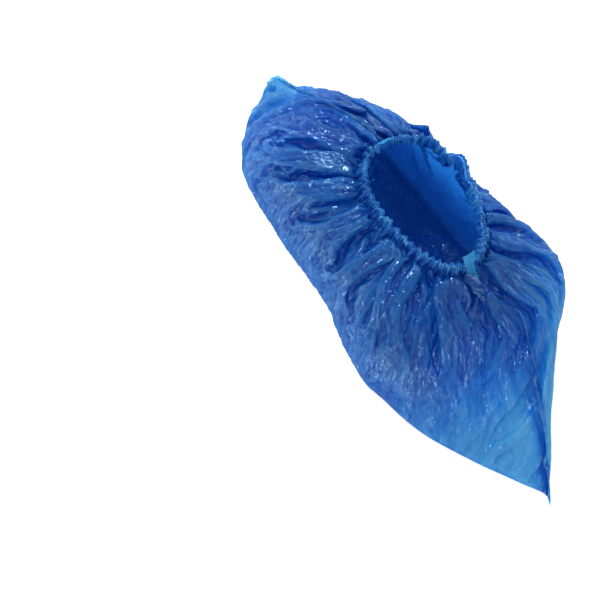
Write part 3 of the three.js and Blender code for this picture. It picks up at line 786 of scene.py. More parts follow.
# Painted shade: the mouth's deeper blue is kept in the same attribute as the amount of film.
amount_and_painted_light = np.maximum(amount_and_painted_light, np.maximum(painted_sole_shade, painted_wall_shade))
set_attribute(film_piece, "amount_and_painted_light", amount_and_painted_light.reshape(-1)[used])
print("film amount with the dark mouth up to", round(float(amount_and_painted_light.max()), 2))

# %% [markdown]
# The hem is the film turned over the elastic and welded down, a flat channel drawn into tight pleats. Seen
# from above it is a dense band round the mouth. It is one strip here: up the outside from the weld line,
# over the elastic and a little way down the inside, so light passes two layers as in the real one.

# %% Hem sizes
HEM_HEIGHT = 0.00675
HEM_FAR_RISE = 0.007
HEM_COLUMNS_A_SIDE = 640
HEM_ROWS = 30
HEM_TURN = 0.62
HEM_LAP = 0.0012
HEM_DROP = 0.42
CHANNEL_DEPTH = 0.0026
FRILLS = (
    # place along the far side where the hem stands up, half width, height
    (0.30, 0.060, 0.0025),
    (0.45, 0.062, 0.0058),
)

hem_share_side = np.linspace(0, 1, HEM_COLUMNS_A_SIDE + 1)
hem_share = np.concatenate([hem_share_side, hem_share_side[-2:0:-1]])
hem_side = np.concatenate([-np.ones(HEM_COLUMNS_A_SIDE + 1), np.ones(HEM_COLUMNS_A_SIDE - 1)])
hem_fade = ramp(0.012, 0.06, np.minimum(hem_share, 1 - hem_share))
hem_columns = len(hem_share)
print("hem grid", HEM_ROWS, "by", hem_columns)


def edge_height(share, side):
    """Height of the mouth's free edge, which stands higher along the far side."""
    return RIM_HEIGHT + HEM_HEIGHT + HEM_FAR_RISE * np.sin(np.pi * share) * (side > 0)


def loop_outward(loop):
    """Level unit vectors that point out of a closed loop of points."""
    along = np.roll(loop, -1, axis=0) - np.roll(loop, 1, axis=0)
    out = np.stack([along[:, 1], -along[:, 0], np.zeros(len(loop))], axis=-1)
    return out / np.linalg.norm(out, axis=-1, keepdims=True)


# %% [markdown]
# Elastic gathers film into pinched pleats of uneven depth. Noise that runs round the mouth has to meet
# itself, so it is read along a circle whose length is the number of values wanted.

# %% Hem pleats
FINE_PLEATS = (126, 31, 0.0007)        # number, seed, depth
COARSE_PLEATS = (47, 33, 0.0012)
LUMPS = (24, 35, 0.0014)
EDGE_PLEATS = 0.0003
FRILL_CALM = 0.75
NOISE_CENTRE = 40


def ring_noise(count, seed, columns):
    """Random values round the mouth, about count of them, that close on themselves."""
    angle = 2 * np.pi * np.arange(columns) / columns
    radius = count / (2 * np.pi)
    circle = np.stack([radius * np.cos(angle), radius * np.sin(angle), 0 * angle], -1)
    return value_noise(circle + NOISE_CENTRE, 1.0, seed)


def ring_pleats(count, seed, columns):
    """Pinched pleats round the mouth, from -1 to 1, with shifted places and uneven depths."""
    phase = count * np.arange(columns) / columns + 0.5 * ring_noise(count * 0.3, seed, columns)
    away = np.abs(2 * (phase - np.floor(phase)) - 1)
    return (1 - 2 * away**0.85) * (0.75 + 0.85 * ring_noise(count * 0.45, seed + 1, columns))


fine_pleats = ring_pleats(*FINE_PLEATS[:2], hem_columns)
coarse_pleats = ring_pleats(*COARSE_PLEATS[:2], hem_columns)
lumps = ring_noise(*LUMPS[:2], hem_columns)
frill = sum(
    tall * np.exp(-(np.abs(hem_share - place) / (0.6 * width)) ** 3) * (hem_side > 0)
    for place, width, tall in FRILLS
)
calm_frill = 1 - FRILL_CALM * frill / frill.max()
own = calm_frill * (FINE_PLEATS[2] * fine_pleats + COARSE_PLEATS[2] * coarse_pleats) + LUMPS[2] * lumps
print("hem pleats reach, mm", round(float(np.abs(own).max()) * 1000, 2))

# %% [markdown]
# Each column of the hem runs up the outside, over the top and part of the way down inside. Its foot takes
# the film's own folds, so that the two meet, and its top the hem's own pleats, blended on the way up.

# %% Hem mesh
HEM_CLEARANCE = 0.0002
FRILL_LEAN = 0.35
HEM_CRINKLE = (0.0035, 37, 0.0005)        # cell size, seed, depth

base_loop = mouth_loop(hem_share, hem_side, 0.0, RIM_HEIGHT)
base_outward = loop_outward(base_loop)
path = np.linspace(0, 1, HEM_ROWS)
rise = np.clip(path / HEM_TURN, 0, 1)
over = np.clip((path - HEM_TURN) / (1 - HEM_TURN), 0, 1) * np.pi / 2
edge = edge_height(hem_share, hem_side) + (LUMPS[2] * lumps + EDGE_PLEATS * fine_pleats) * hem_fade + frill
rolled = np.sin(rise * np.pi / 2) - HEM_DROP * (1 - np.cos(over))
height = RIM_HEIGHT - HEM_LAP + (edge - RIM_HEIGHT + HEM_LAP)[None] * rolled[:, None]
inward = HEM_SPLAY * (1 - rise) - CHANNEL_DEPTH * np.sin(over)

rim_ruffle = ((gathers + folds) * end_fade)[-1]
near_rim = rim_ruffle[: COLUMNS_A_SIDE + 1]
far_rim = np.roll(rim_ruffle[::-1], 1)[: COLUMNS_A_SIDE + 1]
near_ruffle = np.interp(hem_share, share_side, near_rim)
far_ruffle = np.interp(hem_share, share_side, far_rim)
rim_out = np.where(hem_side < 0, near_ruffle, far_ruffle)
blend = ramp(0.0, 0.6, rise)[:, None]
ruffle = (rim_out + HEM_CLEARANCE) * (1 - blend) + own * hem_fade * blend
ruffle += FRILL_LEAN * frill * rise[:, None]
hem = base_loop[None] + base_outward[None] * (inward[:, None] + ruffle)[..., None]
hem[..., 2] = height
crinkle_cell, crinkle_seed, crinkle_depth = HEM_CRINKLE
crinkle = crinkle_depth * creased(hem, crinkle_cell, crinkle_seed) * hem_fade * calm_frill
hem += outward_of(hem) * crinkle[..., None]
hem_index = np.arange(hem[..., 0].size).reshape(hem.shape[:2])
hem_uv = np.stack(np.broadcast_arrays(np.arange(hem_columns) / hem_columns, path[:, None]), -1)
hem_piece = make_mesh("hem_ruffle", hem, grid_faces(hem_index, closed=True), hem_uv.reshape(-1, 2))
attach(hem_piece, "root")
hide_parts("hem_band")

# %% [markdown]
# The hem has the film's two attributes as well, so its pleats take the same painted shade and highlight. It
# is double, so it is deep blue throughout: deepest at its foot, in uneven patches, and paler along its free
# edge, where the film turns over: a painted highlight on the top of the roll.

# %% Hem attributes
HEM_VALLEY_GAIN = 1.1
HEM_AMOUNT = 0.52
HEM_FOOT_AMOUNT = 0.20
HEM_PATCHES = (0.006, 38, 0.25)
HEM_EDGE_HIGHLIGHT = 0.28
HEM_EDGE_REACH = 0.040

hem_bend = bend(hem, outward_of(hem), CREST_REACH) / VALLEY_SCALE
# Painted shade in the hem's pleat valleys and painted highlight on their crests.
set_attribute(hem_piece, "relief_shade_and_tone", np.clip(HEM_VALLEY_GAIN * hem_bend, -1, 1))
patch_cell, patch_seed, patch_depth = HEM_PATCHES
# Painted highlight: the free edge of the hem is made paler.
hem_edge_highlight = np.exp(-(((path - HEM_TURN) / HEM_EDGE_REACH) ** 2))
hem_rows_with_highlight = HEM_AMOUNT + HEM_FOOT_AMOUNT * ramp(0.45, 0.05, path) - HEM_EDGE_HIGHLIGHT * hem_edge_highlight
hem_amount_and_highlight = hem_rows_with_highlight[:, None] + patch_depth * value_noise(hem, patch_cell, patch_seed)
set_attribute(hem_piece, "amount_and_painted_light", hem_amount_and_highlight)
print("hem amount from", round(float(hem_amount_and_highlight.min()), 2), "to", round(float(hem_amount_and_highlight.max()), 2))

# %% [markdown]
# The rubber thread lies loose in the hem's channel. It is a thin tube swept round the mouth: a circle of
# points round each point of its centre line, which follows the hem's pleats at part of their depth.

# %% Elastic thread
THREAD_RADIUS = 0.0005
THREAD_INSET = 0.0014
THREAD_BELOW_EDGE = 3.2
THREAD_FOLLOW = 0.6
THREAD_SIDES = 8

thread_centre = mouth_loop(hem_share, hem_side, 0.0, edge - THREAD_BELOW_EDGE * THREAD_RADIUS)
thread_out = THREAD_FOLLOW * own * hem_fade + FRILL_LEAN * frill - THREAD_INSET
thread_centre = thread_centre + base_outward * thread_out[:, None]
turn_angle = 2 * np.pi * np.arange(THREAD_SIDES)[:, None, None] / THREAD_SIDES
ring = np.cos(turn_angle) * base_outward[None] + np.sin(turn_angle) * np.array([0, 0, 1.0])
thread = thread_centre[None] + THREAD_RADIUS * ring
thread_index = np.arange(thread[..., 0].size).reshape(thread.shape[:2])
thread_index = np.concatenate([thread_index, thread_index[:1]])
thread_piece = make_mesh("elastic", thread, grid_faces(thread_index, closed=True)[:, ::-1])
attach(thread_piece, "root")
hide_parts("elastic_thread")

# %% [markdown]
# A weld leaves a narrow flat margin of film outside its line. At the two bottom corners of the bag the margin
# is drawn out, because the fold's corner is squeezed flat: the small ear at the heel and the tip at the toe.

# %% Welded seams
SEAM_WIDTH = 0.0035
SEAM_NARROWING = 0.3
SEAM_LAP = 0.15
SEAM_TOP = 0.965
SEAM_FLOOR = 0.004
SEAM_ACROSS = 7
FLUTTER = (0.012, 0.0009)
LINE_PASSES = 4
OUTWARD_PASSES = 24
SEAM_CLEARANCE = 0.0001
SEAM_AMOUNT = 0.35
SEAM_PATCHES = 0.3
SEAM_ROOT_AMOUNT = 0.25
HEEL_EAR = ((-0.0030, 0.0018), 0.006)        # how far the corner is drawn out, how high that reaches
TOE_EAR = ((0.0050, -0.0046), 0.018)


def evened(rows, passes):
    """Rows of points or vectors, each moved towards the mean of its two neighbours; the ends stay."""
    rows = rows.copy()
    for _ in range(passes):
        rows[1:-1] = (rows[:-2] + 2 * rows[1:-1] + rows[2:]) / 4
    return rows


def unit(vectors):
    """Vectors divided by their lengths."""
    return vectors / np.linalg.norm(vectors, axis=-1, keepdims=True)


def seam_strip(name, column, node, seed, ear, ear_length):
    """Thin strip that stands out from one weld column of the film; ear is how far its bottom corner is
    drawn out, as a vector on the floor, and ear_length how high up the weld that reaches."""
    line = evened(film[climb < SEAM_TOP, column], LINE_PASSES)
    outwards = outward[: len(line), column].copy()
    outwards[line[:, 2] < SEAM_FLOOR] = (np.sign(line[0, 0]), 0, 0)
    outwards[:, 2] = np.maximum(outwards[:, 2], 0)
    outwards = evened(outwards, OUTWARD_PASSES)
    along = unit(np.gradient(line, axis=0))
    outwards = unit(outwards - along * (outwards * along).sum(axis=-1, keepdims=True))
    across = np.cross(along, outwards)
    travelled = np.concatenate([[0], np.cumsum(np.linalg.norm(np.diff(line, axis=0), axis=-1))])
    drawn_out = np.exp(-((travelled / ear_length) ** 2))
    width = SEAM_WIDTH * (1 - SEAM_NARROWING * drawn_out)
    out = np.linspace(-SEAM_LAP, 1, SEAM_ACROSS)
    flutter_cell, flutter_depth = FLUTTER
    flutter_place = np.stack([travelled, 0 * travelled, 0 * travelled], -1)
    flutter = flutter_depth * value_noise(flutter_place, flutter_cell, seed)
    strip = line[:, None] + outwards[:, None] * (width[:, None] * out)[..., None]
    strip = strip + across[:, None] * (flutter[:, None] * out**2)[..., None]
    strip = strip + (drawn_out[:, None] * np.clip(out, 0, 1))[..., None] * np.array((*ear, 0.0))
    strip[..., 2] = np.maximum(strip[..., 2], SEAM_CLEARANCE)
    order = np.arange(strip[..., 0].size).reshape(strip.shape[:2])
    strip_uv = np.stack(np.broadcast_arrays(out, travelled[:, None] / travelled[-1]), -1).reshape(-1, 2)
    piece = make_mesh(name, strip, grid_faces(order, closed=False), strip_uv)
    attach(piece, "root")
    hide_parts(node)
    patches = SEAM_PATCHES * value_noise(strip, 0.006, seed + 1)
    set_attribute(piece, "amount_and_painted_light", SEAM_AMOUNT + patches + SEAM_ROOT_AMOUNT * (out < 0.3))
    # On the welds the same attribute holds only random tone, no painted shade.
    set_attribute(piece, "relief_shade_and_tone", value_noise(strip, 0.003, seed + 2))
    return piece


heel_seam_piece = seam_strip("heel_weld", 0, "heel_seam", 51, *HEEL_EAR)
toe_seam_piece = seam_strip("toe_weld", COLUMNS_A_SIDE, "toe_seam", 52, *TOE_EAR)

# %% [markdown]
# Where each end weld meets the hem the machine presses a small turquoise patch. It is stiff, embossed with a
# fine grid, and its upper corner stands clear of the mouth. Its middle line runs down four points, and the
# embossing is a product of two sines.

# %% Weld tabs
TAB_WIDTH = 0.0085
TAB_STAND = 0.0060
TAB_LEAN = 0.0045
TAB_TAPER = 0.25
TAB_OFF = 0.0012
TAB_CURL = 0.0007
TAB_BUCKLE = (0.005, 0.0007)
EMBOSS_PITCH = 0.0026
EMBOSS_HEIGHT = 0.00035
TAB_ACROSS = 56
TAB_DOWN = 72
TAB_AMOUNT = 0.18
TAB_PATCHES = 0.25


def tab_patch(name, share_end, node, seed):
    """Bent patch down the outside of the hem: across runs sideways, down follows a line of four points."""
    low, high = (np.array(corner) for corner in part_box(node))
    sign = 1.0 if share_end > 0.5 else -1.0
    place = np.array([share_end])
    edge_point = mouth_loop(place, -1, 0.0, edge_height(place, -1))[0]
    rim_point = mouth_loop(place, -1, HEM_SPLAY, RIM_HEIGHT)[0]
    top_point = edge_point + (-sign * TAB_LEAN, 0, TAB_STAND)
    foot_point = np.array([high[0] if sign > 0 else low[0], rim_point[1], low[2]])
    profile = np.array([top_point, edge_point, rim_point, foot_point])
    lengths = np.concatenate([[0], np.cumsum(np.linalg.norm(np.diff(profile, axis=0), axis=-1))])
    down = np.linspace(0, 1, TAB_DOWN)
    line = np.stack([np.interp(down * lengths[-1], lengths, profile[:, k]) for k in range(3)], -1)
    half = TAB_WIDTH / 2 * (1 - TAB_TAPER * down)
    off = np.linspace(-1, 1, TAB_ACROSS)
    patch = np.repeat(line[:, None], TAB_ACROSS, axis=1)
    patch[..., 1] += half[:, None] * off
    grid = np.stack(np.broadcast_arrays(half[:, None] * off, (down * lengths[-1])[:, None], seed * 0.1), -1)
    waves = np.sin(2 * np.pi * grid[..., :2] / EMBOSS_PITCH)
    emboss = waves[..., 0] * waves[..., 1]
    buckle_cell, buckle_depth = TAB_BUCKLE
    buckle = buckle_depth * value_noise(grid, buckle_cell, seed)
    patch[..., 0] += sign * (TAB_OFF + EMBOSS_HEIGHT * emboss + buckle - TAB_CURL * off[None] ** 2)
    order = np.arange(patch[..., 0].size).reshape(patch.shape[:2])
    tab_faces = grid_faces(order, closed=False)
    patch_uv = np.stack(np.broadcast_arrays(off, down[:, None]), -1).reshape(-1, 2)
    piece = make_mesh(name, patch, tab_faces if sign < 0 else tab_faces[:, ::-1], patch_uv)
    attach(piece, "root")
    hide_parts(node)
    set_attribute(piece, "amount_and_painted_light", TAB_AMOUNT + TAB_PATCHES * value_noise(grid, 0.003, seed + 1))
    # Painted shade and highlight of the emboss: raised bumps paler, hollows deeper blue.
    set_attribute(piece, "relief_shade_and_tone", -emboss)
    return piece


heel_tab_piece = tab_patch("heel_patch", 0.0, "heel_tab", 61)
toe_tab_piece = tab_patch("toe_patch", 1.0, "toe_tab", 62)

# %% [markdown]
# The film is photographed on plain white under broad soft light, so it has hardly any shadow. The floor is a
# pale plane that glows a little itself, which keeps it white under the film too. It is no lamp for Cycles to
# aim at, because so large a lamp would make the render slow and noisy.

# %% Floor
FLOOR_HALF = 3.0
FLOOR_DROP = 0.0004
FLOOR_GLOW = 0.45
floor_corners = [(x * FLOOR_HALF, y * FLOOR_HALF, 0) for x, y in ((-1, -1), (1, -1), (1, 1), (-1, 1))]
floor_mesh = bpy.data.meshes.new("floor")
floor_mesh.from_pydata(floor_corners, [], [(0, 1, 2, 3)])
floor = bpy.data.objects.new("floor", floor_mesh)
floor.location.z = -FLOOR_DROP
bpy.context.scene.collection.objects.link(floor)
floor_material = bpy.data.materials.new("white_floor")
floor_material.use_nodes = True
floor_shader = floor_material.node_tree.nodes["Principled BSDF"]
floor_shader.inputs["Base Color"].default_value = (0.93, 0.93, 0.93, 1)
floor_shader.inputs["Roughness"].default_value = 0.9
floor_shader.inputs["Specular IOR Level"].default_value = 0.1
floor_shader.inputs["Emission Color"].default_value = (1, 1, 1, 1)
floor_shader.inputs["Emission Strength"].default_value = FLOOR_GLOW
floor_material.cycles.emission_sampling = "NONE"
floor_mesh.materials.append(floor_material)
print("floor", 2 * FLOOR_HALF, "m wide,", FLOOR_DROP * 1000, "mm below the film")

# %% [markdown]
# Glossy film shows what it reflects. Four small soft boxes off to the sides put thin glints on the facets
# that happen to face them, and the rest of the light comes from the world. The standard view keeps the blues
# as saturated as they are and lets the floor go white.

# %% Lights
SOFT_BOXES = (
    # name, place, size, power
    ("key", (-0.95, 0.10, 1.0), 0.22, 12),
    ("top", (-0.50, -0.25, 1.25), 0.16, 7),
    ("side", (0.25, 1.05, 0.85), 0.60, 3),
    ("front", (0.3, -1.1, 0.8), 0.30, 3),
)
LIGHT_AIM = (0, 0, 0.03)


def soft_light(name, place, size, power):
    """Square area light that faces the middle of the part."""
    data = bpy.data.lights.new(name, "AREA")
    data.size = size
    data.energy = power
    lamp = bpy.data.objects.new(name, data)
    lamp.location = place
    aim = Vector(LIGHT_AIM) - Vector(place)
    lamp.rotation_euler = aim.to_track_quat("-Z", "Y").to_euler()
    bpy.context.scene.collection.objects.link(lamp)


for soft_box in SOFT_BOXES:
    soft_light(*soft_box)
world = bpy.data.worlds.new("studio")
world.use_nodes = True
bpy.context.scene.world = world
bpy.context.scene.view_settings.view_transform = "Standard"
print(len(SOFT_BOXES), "soft boxes")

# %% [markdown]
# A material is a small network of nodes. One class keeps the few ways in which this script adds and links
# them, so that each finish below reads as a recipe.

# %% Node helpers
class Tree:
    """Nodes of one material or world, with short ways to add and link them."""

    def __init__(self, node_tree):
        self.nodes = node_tree.nodes
        self.join = node_tree.links.new

    def add(self, kind, links=(), **numbers):
        """New node. links pairs input names with outputs; numbers sets inputs, with _ for each space."""
        node = self.nodes.new(kind)
        for name, output in dict(links).items():
            self.join(output, node.inputs[name])
        for name, value in numbers.items():
            node.inputs[name.replace("_", " ")].default_value = value
        return node

    def math(self, operation, first, second):
        """Math node on two inputs, each an output or a number."""
        node = self.nodes.new("ShaderNodeMath")
        node.operation = operation
        for socket, value in zip(node.inputs, (first, second)):
            if isinstance(value, (int, float)):
                socket.default_value = value
            else:
                self.join(value, socket)
        return node.outputs[0]

    def total(self, first, *others):
        """Sum of outputs and numbers."""
        for other in others:
            first = self.math("ADD", first, other)
        return first

    def product(self, first, *others):
        """Product of outputs and numbers."""
        for other in others:
            first = self.math("MULTIPLY", first, other)
        return first

    def between(self, value, low, high):
        """Value held between two limits."""
        return self.math("MINIMUM", self.math("MAXIMUM", value, low), high)

    def remap(self, value, low, high):
        """Map Range node that takes 0..1 to low..high."""
        return self.add("ShaderNodeMapRange", {"Value": value}, To_Min=low, To_Max=high).outputs["Result"]

    def attribute(self, name):
        """Number kept on the mesh under that name."""
        node = self.nodes.new("ShaderNodeAttribute")
        node.attribute_name = name
        return node.outputs["Fac"]

    def repeated(self, vector, repeats):
        """Vector scaled so that a pattern on it repeats that often across and up."""
        return self.add("ShaderNodeMapping", {"Vector": vector}, Scale=(*repeats, 1)).outputs["Vector"]

    def noise(self, vector, scale, detail, distortion=0.0):
        """Flat noise node on a vector."""
        node = self.add("ShaderNodeTexNoise", {"Vector": vector})
        node.noise_dimensions = "2D"
        node.inputs["Scale"].default_value = scale
        node.inputs["Detail"].default_value = detail
        node.inputs["Distortion"].default_value = distortion
        return node

    def ramp(self, value, stops):
        """Colour at value on a ramp with those (place, (red, green, blue)) stops."""
        node = self.add("ShaderNodeValToRGB", {"Fac": value})
        elements = node.color_ramp.elements
        while len(elements) < len(stops):
            elements.new(0.5)
        for element, (place, colour) in zip(elements, stops):
            element.position = place
            element.color = (*colour, 1)
        return node.outputs["Color"]

    def mix(self, share_of_second, first, second):
        """Mix Shader node; the share is an output or a number."""
        node = self.nodes.new("ShaderNodeMixShader")
        if isinstance(share_of_second, float):
            node.inputs["Fac"].default_value = share_of_second
        else:
            self.join(share_of_second, node.inputs["Fac"])
        self.join(first, node.inputs[1])
        self.join(second, node.inputs[2])
        return node.outputs[0]


def new_material(name):
    """Empty node material and its tree."""
    material = bpy.data.materials.new(name)
    material.use_nodes = True
    material.node_tree.nodes.clear()
    return material, Tree(material.node_tree)


print("node helpers ready")

# %% [markdown]
# An even white world puts one grey haze on all gloss. A real studio is darker overhead and brightest at the
# height of its walls, so the sky here is a ramp on the height of each direction, from below to straight up.

# %% Sky of the studio
SKY = ((0.0, 0.85), (0.30, 1.00), (0.50, 1.15), (0.72, 0.72), (0.88, 0.38), (1.0, 0.30))
SKY_TONE = (0.98, 0.99, 1.0)
sky = Tree(world.node_tree)
sky_place = sky.add("ShaderNodeTexCoord").outputs["Generated"]
sky_height = sky.add("ShaderNodeSeparateXYZ", {"Vector": sky_place}).outputs["Z"]
sky_stops = tuple((place, tuple(tone * light for tone in SKY_TONE)) for place, light in SKY)
sky.join(sky.ramp(sky_height, sky_stops), sky.nodes["Background"].inputs["Color"])
print("sky from", SKY[0][1], "to", SKY[-1][1])

# %% [markdown]
# Film this thin is three things at once: clear enough to tint what lies behind it, milky enough to glow a
# little when light comes through, and glossy. So its material mixes a tinted transparent part, a translucent
# part and a coloured surface, and lays a sharp gloss over all of it. How deep the blue is comes from the two
# attributes of the mesh, which carry painted shade and painted highlight as well, a little mottling and thin
# streaks that run up the film.

# %% Depth of the blue
RELIEF_SHADE_AND_TONE_DEPTH = 0.42
MOTTLE_DEPTH = 0.30
STREAK_DEPTH = 1.9
DEPTH_LIMIT = 0.84
LEAST_BELOW_AMOUNT = 0.15


def film_depth(tree, place, amount_and_painted_light, relief_shade_and_tone, crinkled, streak_repeats):
    """How deep the blue is, from 0 to 1: amount, plus the painted shade of valleys and the painted highlight
    of crests, mottling and streaks up to a limit, and never much less than the amount alone."""
    streaks = tree.noise(tree.repeated(place, streak_repeats), scale=1.0, detail=3.0, distortion=0.4)
    lines = tree.product(tree.math("SUBTRACT", streaks.outputs["Fac"], 0.5), amount_and_painted_light, STREAK_DEPTH)
    mottle = tree.math("SUBTRACT", tree.noise(crinkled, scale=2.2, detail=4.0).outputs["Fac"], 0.5)
    # Painted shade and highlight: the relief attribute deepens the blue in valleys and pales it on crests.
    depth = tree.total(tree.product(relief_shade_and_tone, RELIEF_SHADE_AND_TONE_DEPTH), amount_and_painted_light, tree.product(mottle, MOTTLE_DEPTH), lines)
    depth = tree.math("MINIMUM", depth, DEPTH_LIMIT)
    return tree.math("MAXIMUM", depth, tree.math("SUBTRACT", amount_and_painted_light, LEAST_BELOW_AMOUNT))


print("depth is at most", DEPTH_LIMIT, "but for the dark mouth")

# %% [markdown]
# Below the size of the mesh the film still has facets and crinkles. They only tilt the light, so a bump is
# enough: two sizes of low pyramids on bent random cells, and fine folded noise. The soft surface takes
# little of it and the gloss on top takes more.

# %% Facets and crinkles
CELL_BEND = 0.10
FACETS = ((5.0, 1.0), (12.0, 0.45))
CREASE_NOISE = (26.0, 0.35)
SOFT_BUMP = 0.35
SHARP_BUMP = 1.3


def facet_height(tree, crinkled):
    """Distance to the nearest border of random cells, at two sizes, plus noise folded at its middle value."""
    bend_noise = tree.noise(crinkled, scale=7.0, detail=2.0)
    bending = tree.add("ShaderNodeMixRGB", {"Color1": crinkled, "Color2": bend_noise.outputs["Color"]})
    bending.blend_type = "ADD"
    bending.inputs["Fac"].default_value = CELL_BEND
    height = None
    for scale, strength in FACETS:
        cells = tree.add("ShaderNodeTexVoronoi", {"Vector": bending.outputs["Color"]}, Scale=scale)
        cells.feature = "DISTANCE_TO_EDGE"
        cells.voronoi_dimensions = "2D"
        pyramids = tree.product(cells.outputs["Distance"], strength)
        height = pyramids if height is None else tree.total(height, pyramids)
    scale, strength = CREASE_NOISE
    folded = tree.noise(crinkled, scale, detail=1.0, distortion=0.6).outputs["Fac"]
    away = tree.math("ABSOLUTE", tree.math("SUBTRACT", folded, 0.5), 0.0)
    return tree.total(height, tree.product(away, strength))


print(len(FACETS), "sizes of facets")

# %% [markdown]
# Where the film is packed, thin pale crinkles catch the light. Each is a line where noise crosses its middle
# value. They show in patches, and most where there is a fair amount of film but not in the dark mouth.

# %% Pale crinkles
CRINKLE_FINER = (2.4, 2.6)
CRINKLE_THINNESS = 28.0
PATCH_START = 0.44
PATCH_STEEPNESS = 7.0
PALE_GLOSS = 0.25
PALE_END = 1.05
PALE_PEAK = 4.0


def pale_crinkles(tree, place, amount_and_painted_light, crinkled, streak_repeats):
    """Share of extra gloss: a line, 1 - thinness times the distance of noise from its middle, times a patch,
    times amount by (end - amount)."""
    repeats = tuple(finer * repeat for finer, repeat in zip(CRINKLE_FINER, streak_repeats))
    crinkle = tree.noise(tree.repeated(place, repeats), scale=1.0, detail=2.0, distortion=0.8)
    away = tree.math("ABSOLUTE", tree.math("SUBTRACT", crinkle.outputs["Fac"], 0.5), 0.0)
    line = tree.math("MAXIMUM", tree.total(tree.product(away, -CRINKLE_THINNESS), 1.0), 0.0)
    patch = tree.noise(crinkled, scale=3.4, detail=2.0).outputs["Fac"]
    patch = tree.math("SUBTRACT", patch, PATCH_START)
    patch = tree.between(tree.product(patch, PATCH_STEEPNESS), 0.0, 1.0)
    packed = tree.product(tree.math("SUBTRACT", PALE_END, amount_and_painted_light), amount_and_painted_light, PALE_PEAK)
    packed = tree.math("MAXIMUM", packed, 0.0)
    return tree.product(line, patch, packed, PALE_GLOSS)


print("pale crinkles add up to", PALE_GLOSS, "of gloss")

# %% [markdown]
# The recipe puts the parts together. The gloss is bluish and held to a small share, because the film is so
# thin that even grazing light mostly passes through it.

# %% Film finish
MILKY_SHARE = 0.4
MILKY_ROUGHNESS = (0.25, 0.5)
GLOSS_COLOUR = (0.42, 0.74, 1.0, 1)
GLOSS_GAIN = 0.85
GLOSS_LIMIT = 0.11
FILM_IOR = 1.52


def film_material(name, body, tint, clear, gloss_roughness, bump, crinkle_repeats, streak_repeats):
    """Thin film. body and tint are colour stops from thin to gathered film, clear the least and the most of
    the light that goes straight through, crinkle_repeats how often the crinkle noise repeats across the UV
    map, and streak_repeats the same for the thin lines that run up the film."""
    material, tree = new_material(name)
    amount_and_painted_light = tree.attribute("amount_and_painted_light")
    relief_shade_and_tone = tree.attribute("relief_shade_and_tone")
    uv_map = tree.nodes.new("ShaderNodeUVMap")
    uv_map.uv_map = "film"
    place = uv_map.outputs["UV"]
    crinkled = tree.repeated(place, crinkle_repeats)
    depth = film_depth(tree, place, amount_and_painted_light, relief_shade_and_tone, crinkled, streak_repeats)
    body_colour = tree.ramp(depth, body)
    tint_colour = tree.ramp(depth, tint)

    height = facet_height(tree, crinkled)
    soft_normal, sharp_normal = (
        tree.add("ShaderNodeBump", {"Height": height}, Distance=bump * part).outputs["Normal"]
        for part in (SOFT_BUMP, SHARP_BUMP)
    )
    roughness = tree.remap(tree.noise(crinkled, scale=6.0, detail=3.0).outputs["Fac"], *MILKY_ROUGHNESS)
    surface_links = {"Base Color": body_colour, "Roughness": roughness, "Normal": soft_normal}
    surface = tree.add("ShaderNodeBsdfPrincipled", surface_links, Specular_IOR_Level=0.0)
    glow = tree.add("ShaderNodeBsdfTranslucent", {"Color": tint_colour, "Normal": soft_normal})
    milky = tree.mix(MILKY_SHARE, surface.outputs[0], glow.outputs[0])
    through = tree.add("ShaderNodeBsdfTransparent", {"Color": tint_colour})
    thin = tree.mix(tree.remap(depth, clear[1], clear[0]), milky, through.outputs[0])

    shine = tree.add(
        "ShaderNodeBsdfGlossy", {"Normal": sharp_normal}, Color=GLOSS_COLOUR, Roughness=gloss_roughness
    )
    fresnel = tree.add("ShaderNodeFresnel", {"Normal": sharp_normal}, IOR=FILM_IOR).outputs[0]
    gloss = tree.math("MINIMUM", tree.product(fresnel, GLOSS_GAIN), GLOSS_LIMIT)
    gloss = tree.total(gloss, pale_crinkles(tree, place, amount_and_painted_light, crinkled, streak_repeats))
    coated = tree.mix(gloss, thin, shine.outputs[0])
    tree.add("ShaderNodeOutputMaterial", {"Surface": coated})
    return material


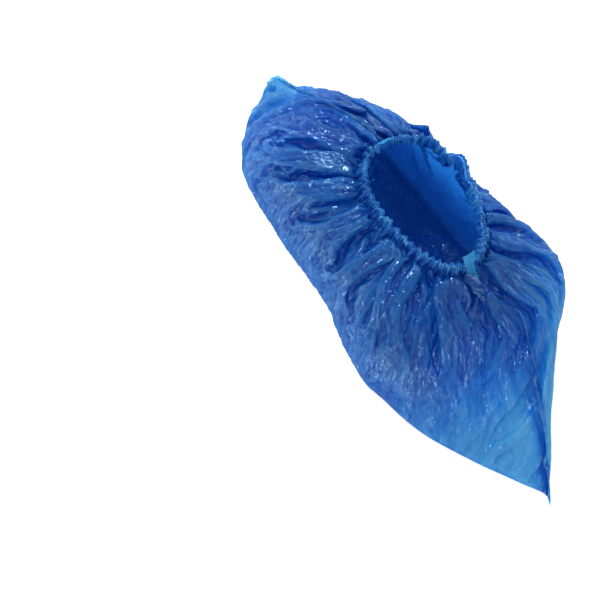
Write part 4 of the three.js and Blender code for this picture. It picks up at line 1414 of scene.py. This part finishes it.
FILM_BODY = (
    (0.0, (0.100, 0.35, 0.53)),
    (0.4, (0.010, 0.145, 0.43)),
    (0.85, (0.001, 0.040, 0.27)),
    (1.0, (0.001, 0.016, 0.13)),
)
FILM_TINT = (
    (0.0, (0.30, 0.64, 0.80)),
    (0.4, (0.07, 0.40, 0.76)),
    (0.85, (0.012, 0.16, 0.60)),
    (1.0, (0.003, 0.05, 0.30)),
)
film_finish = film_material(
    "blue_film", FILM_BODY, FILM_TINT, clear=(0.22, 0.60), gloss_roughness=0.16, bump=0.0020,
    crinkle_repeats=(13.0, 1.9), streak_repeats=(130.0, 4.0),
)
hem_finish = film_material(
    "hem_film", FILM_BODY, FILM_TINT, clear=(0.12, 0.34), gloss_roughness=0.22, bump=0.0006,
    crinkle_repeats=(60.0, 1.2), streak_repeats=(150.0, 1.2),
)
film_piece.data.materials.append(film_finish)
hem_piece.data.materials.append(hem_finish)
print("film finish has", len(film_finish.node_tree.nodes), "nodes")

# %% [markdown]
# The welds and the weld patches are the same film, pressed together, so they take the same recipe with finer
# patterns, and the patches with a greener blue. The elastic is plain rubber that hardly shows: a coloured
# surface with a little noise is enough.

# %% Other finishes
RUBBER_BLUE = (0.05, 0.27, 0.74)
TAB_BODY = ((0.0, (0.03, 0.40, 0.68)), (0.5, (0.01, 0.21, 0.56)), (1.0, (0.004, 0.09, 0.38)))
TAB_TINT = ((0.0, (0.20, 0.70, 0.92)), (0.5, (0.08, 0.46, 0.84)), (1.0, (0.03, 0.28, 0.70)))


def plain_material(name, colour, roughness):
    """Coloured surface with a little noise in its colour and roughness."""
    material, tree = new_material(name)
    place = tree.add("ShaderNodeTexCoord").outputs["Object"]
    grain = tree.add("ShaderNodeTexNoise", {"Vector": place}, Scale=400).outputs["Fac"]
    low = tuple(0.75 * c for c in colour)
    surface_links = {
        "Base Color": tree.ramp(grain, ((0.3, low), (0.7, colour))),
        "Roughness": tree.remap(grain, roughness - 0.1, roughness + 0.1),
    }
    surface = tree.add("ShaderNodeBsdfPrincipled", surface_links)
    tree.add("ShaderNodeOutputMaterial", {"Surface": surface.outputs[0]})
    return material


thread_piece.data.materials.append(plain_material("elastic", RUBBER_BLUE, 0.5))
weld_finish = film_material(
    "weld", FILM_BODY, FILM_TINT, clear=(0.20, 0.50), gloss_roughness=0.22, bump=0.0010,
    crinkle_repeats=(2.0, 30.0), streak_repeats=(4.0, 60.0),
)
tab_finish = film_material(
    "tab", TAB_BODY, TAB_TINT, clear=(0.10, 0.30), gloss_roughness=0.28, bump=0.0006,
    crinkle_repeats=(2.0, 4.0), streak_repeats=(6.0, 2.0),
)
for seam_piece in (heel_seam_piece, toe_seam_piece):
    seam_piece.data.materials.append(weld_finish)
for tab_piece in (heel_tab_piece, toe_tab_piece):
    tab_piece.data.materials.append(tab_finish)
print("materials:", sorted(material.name for material in bpy.data.materials if material.users))
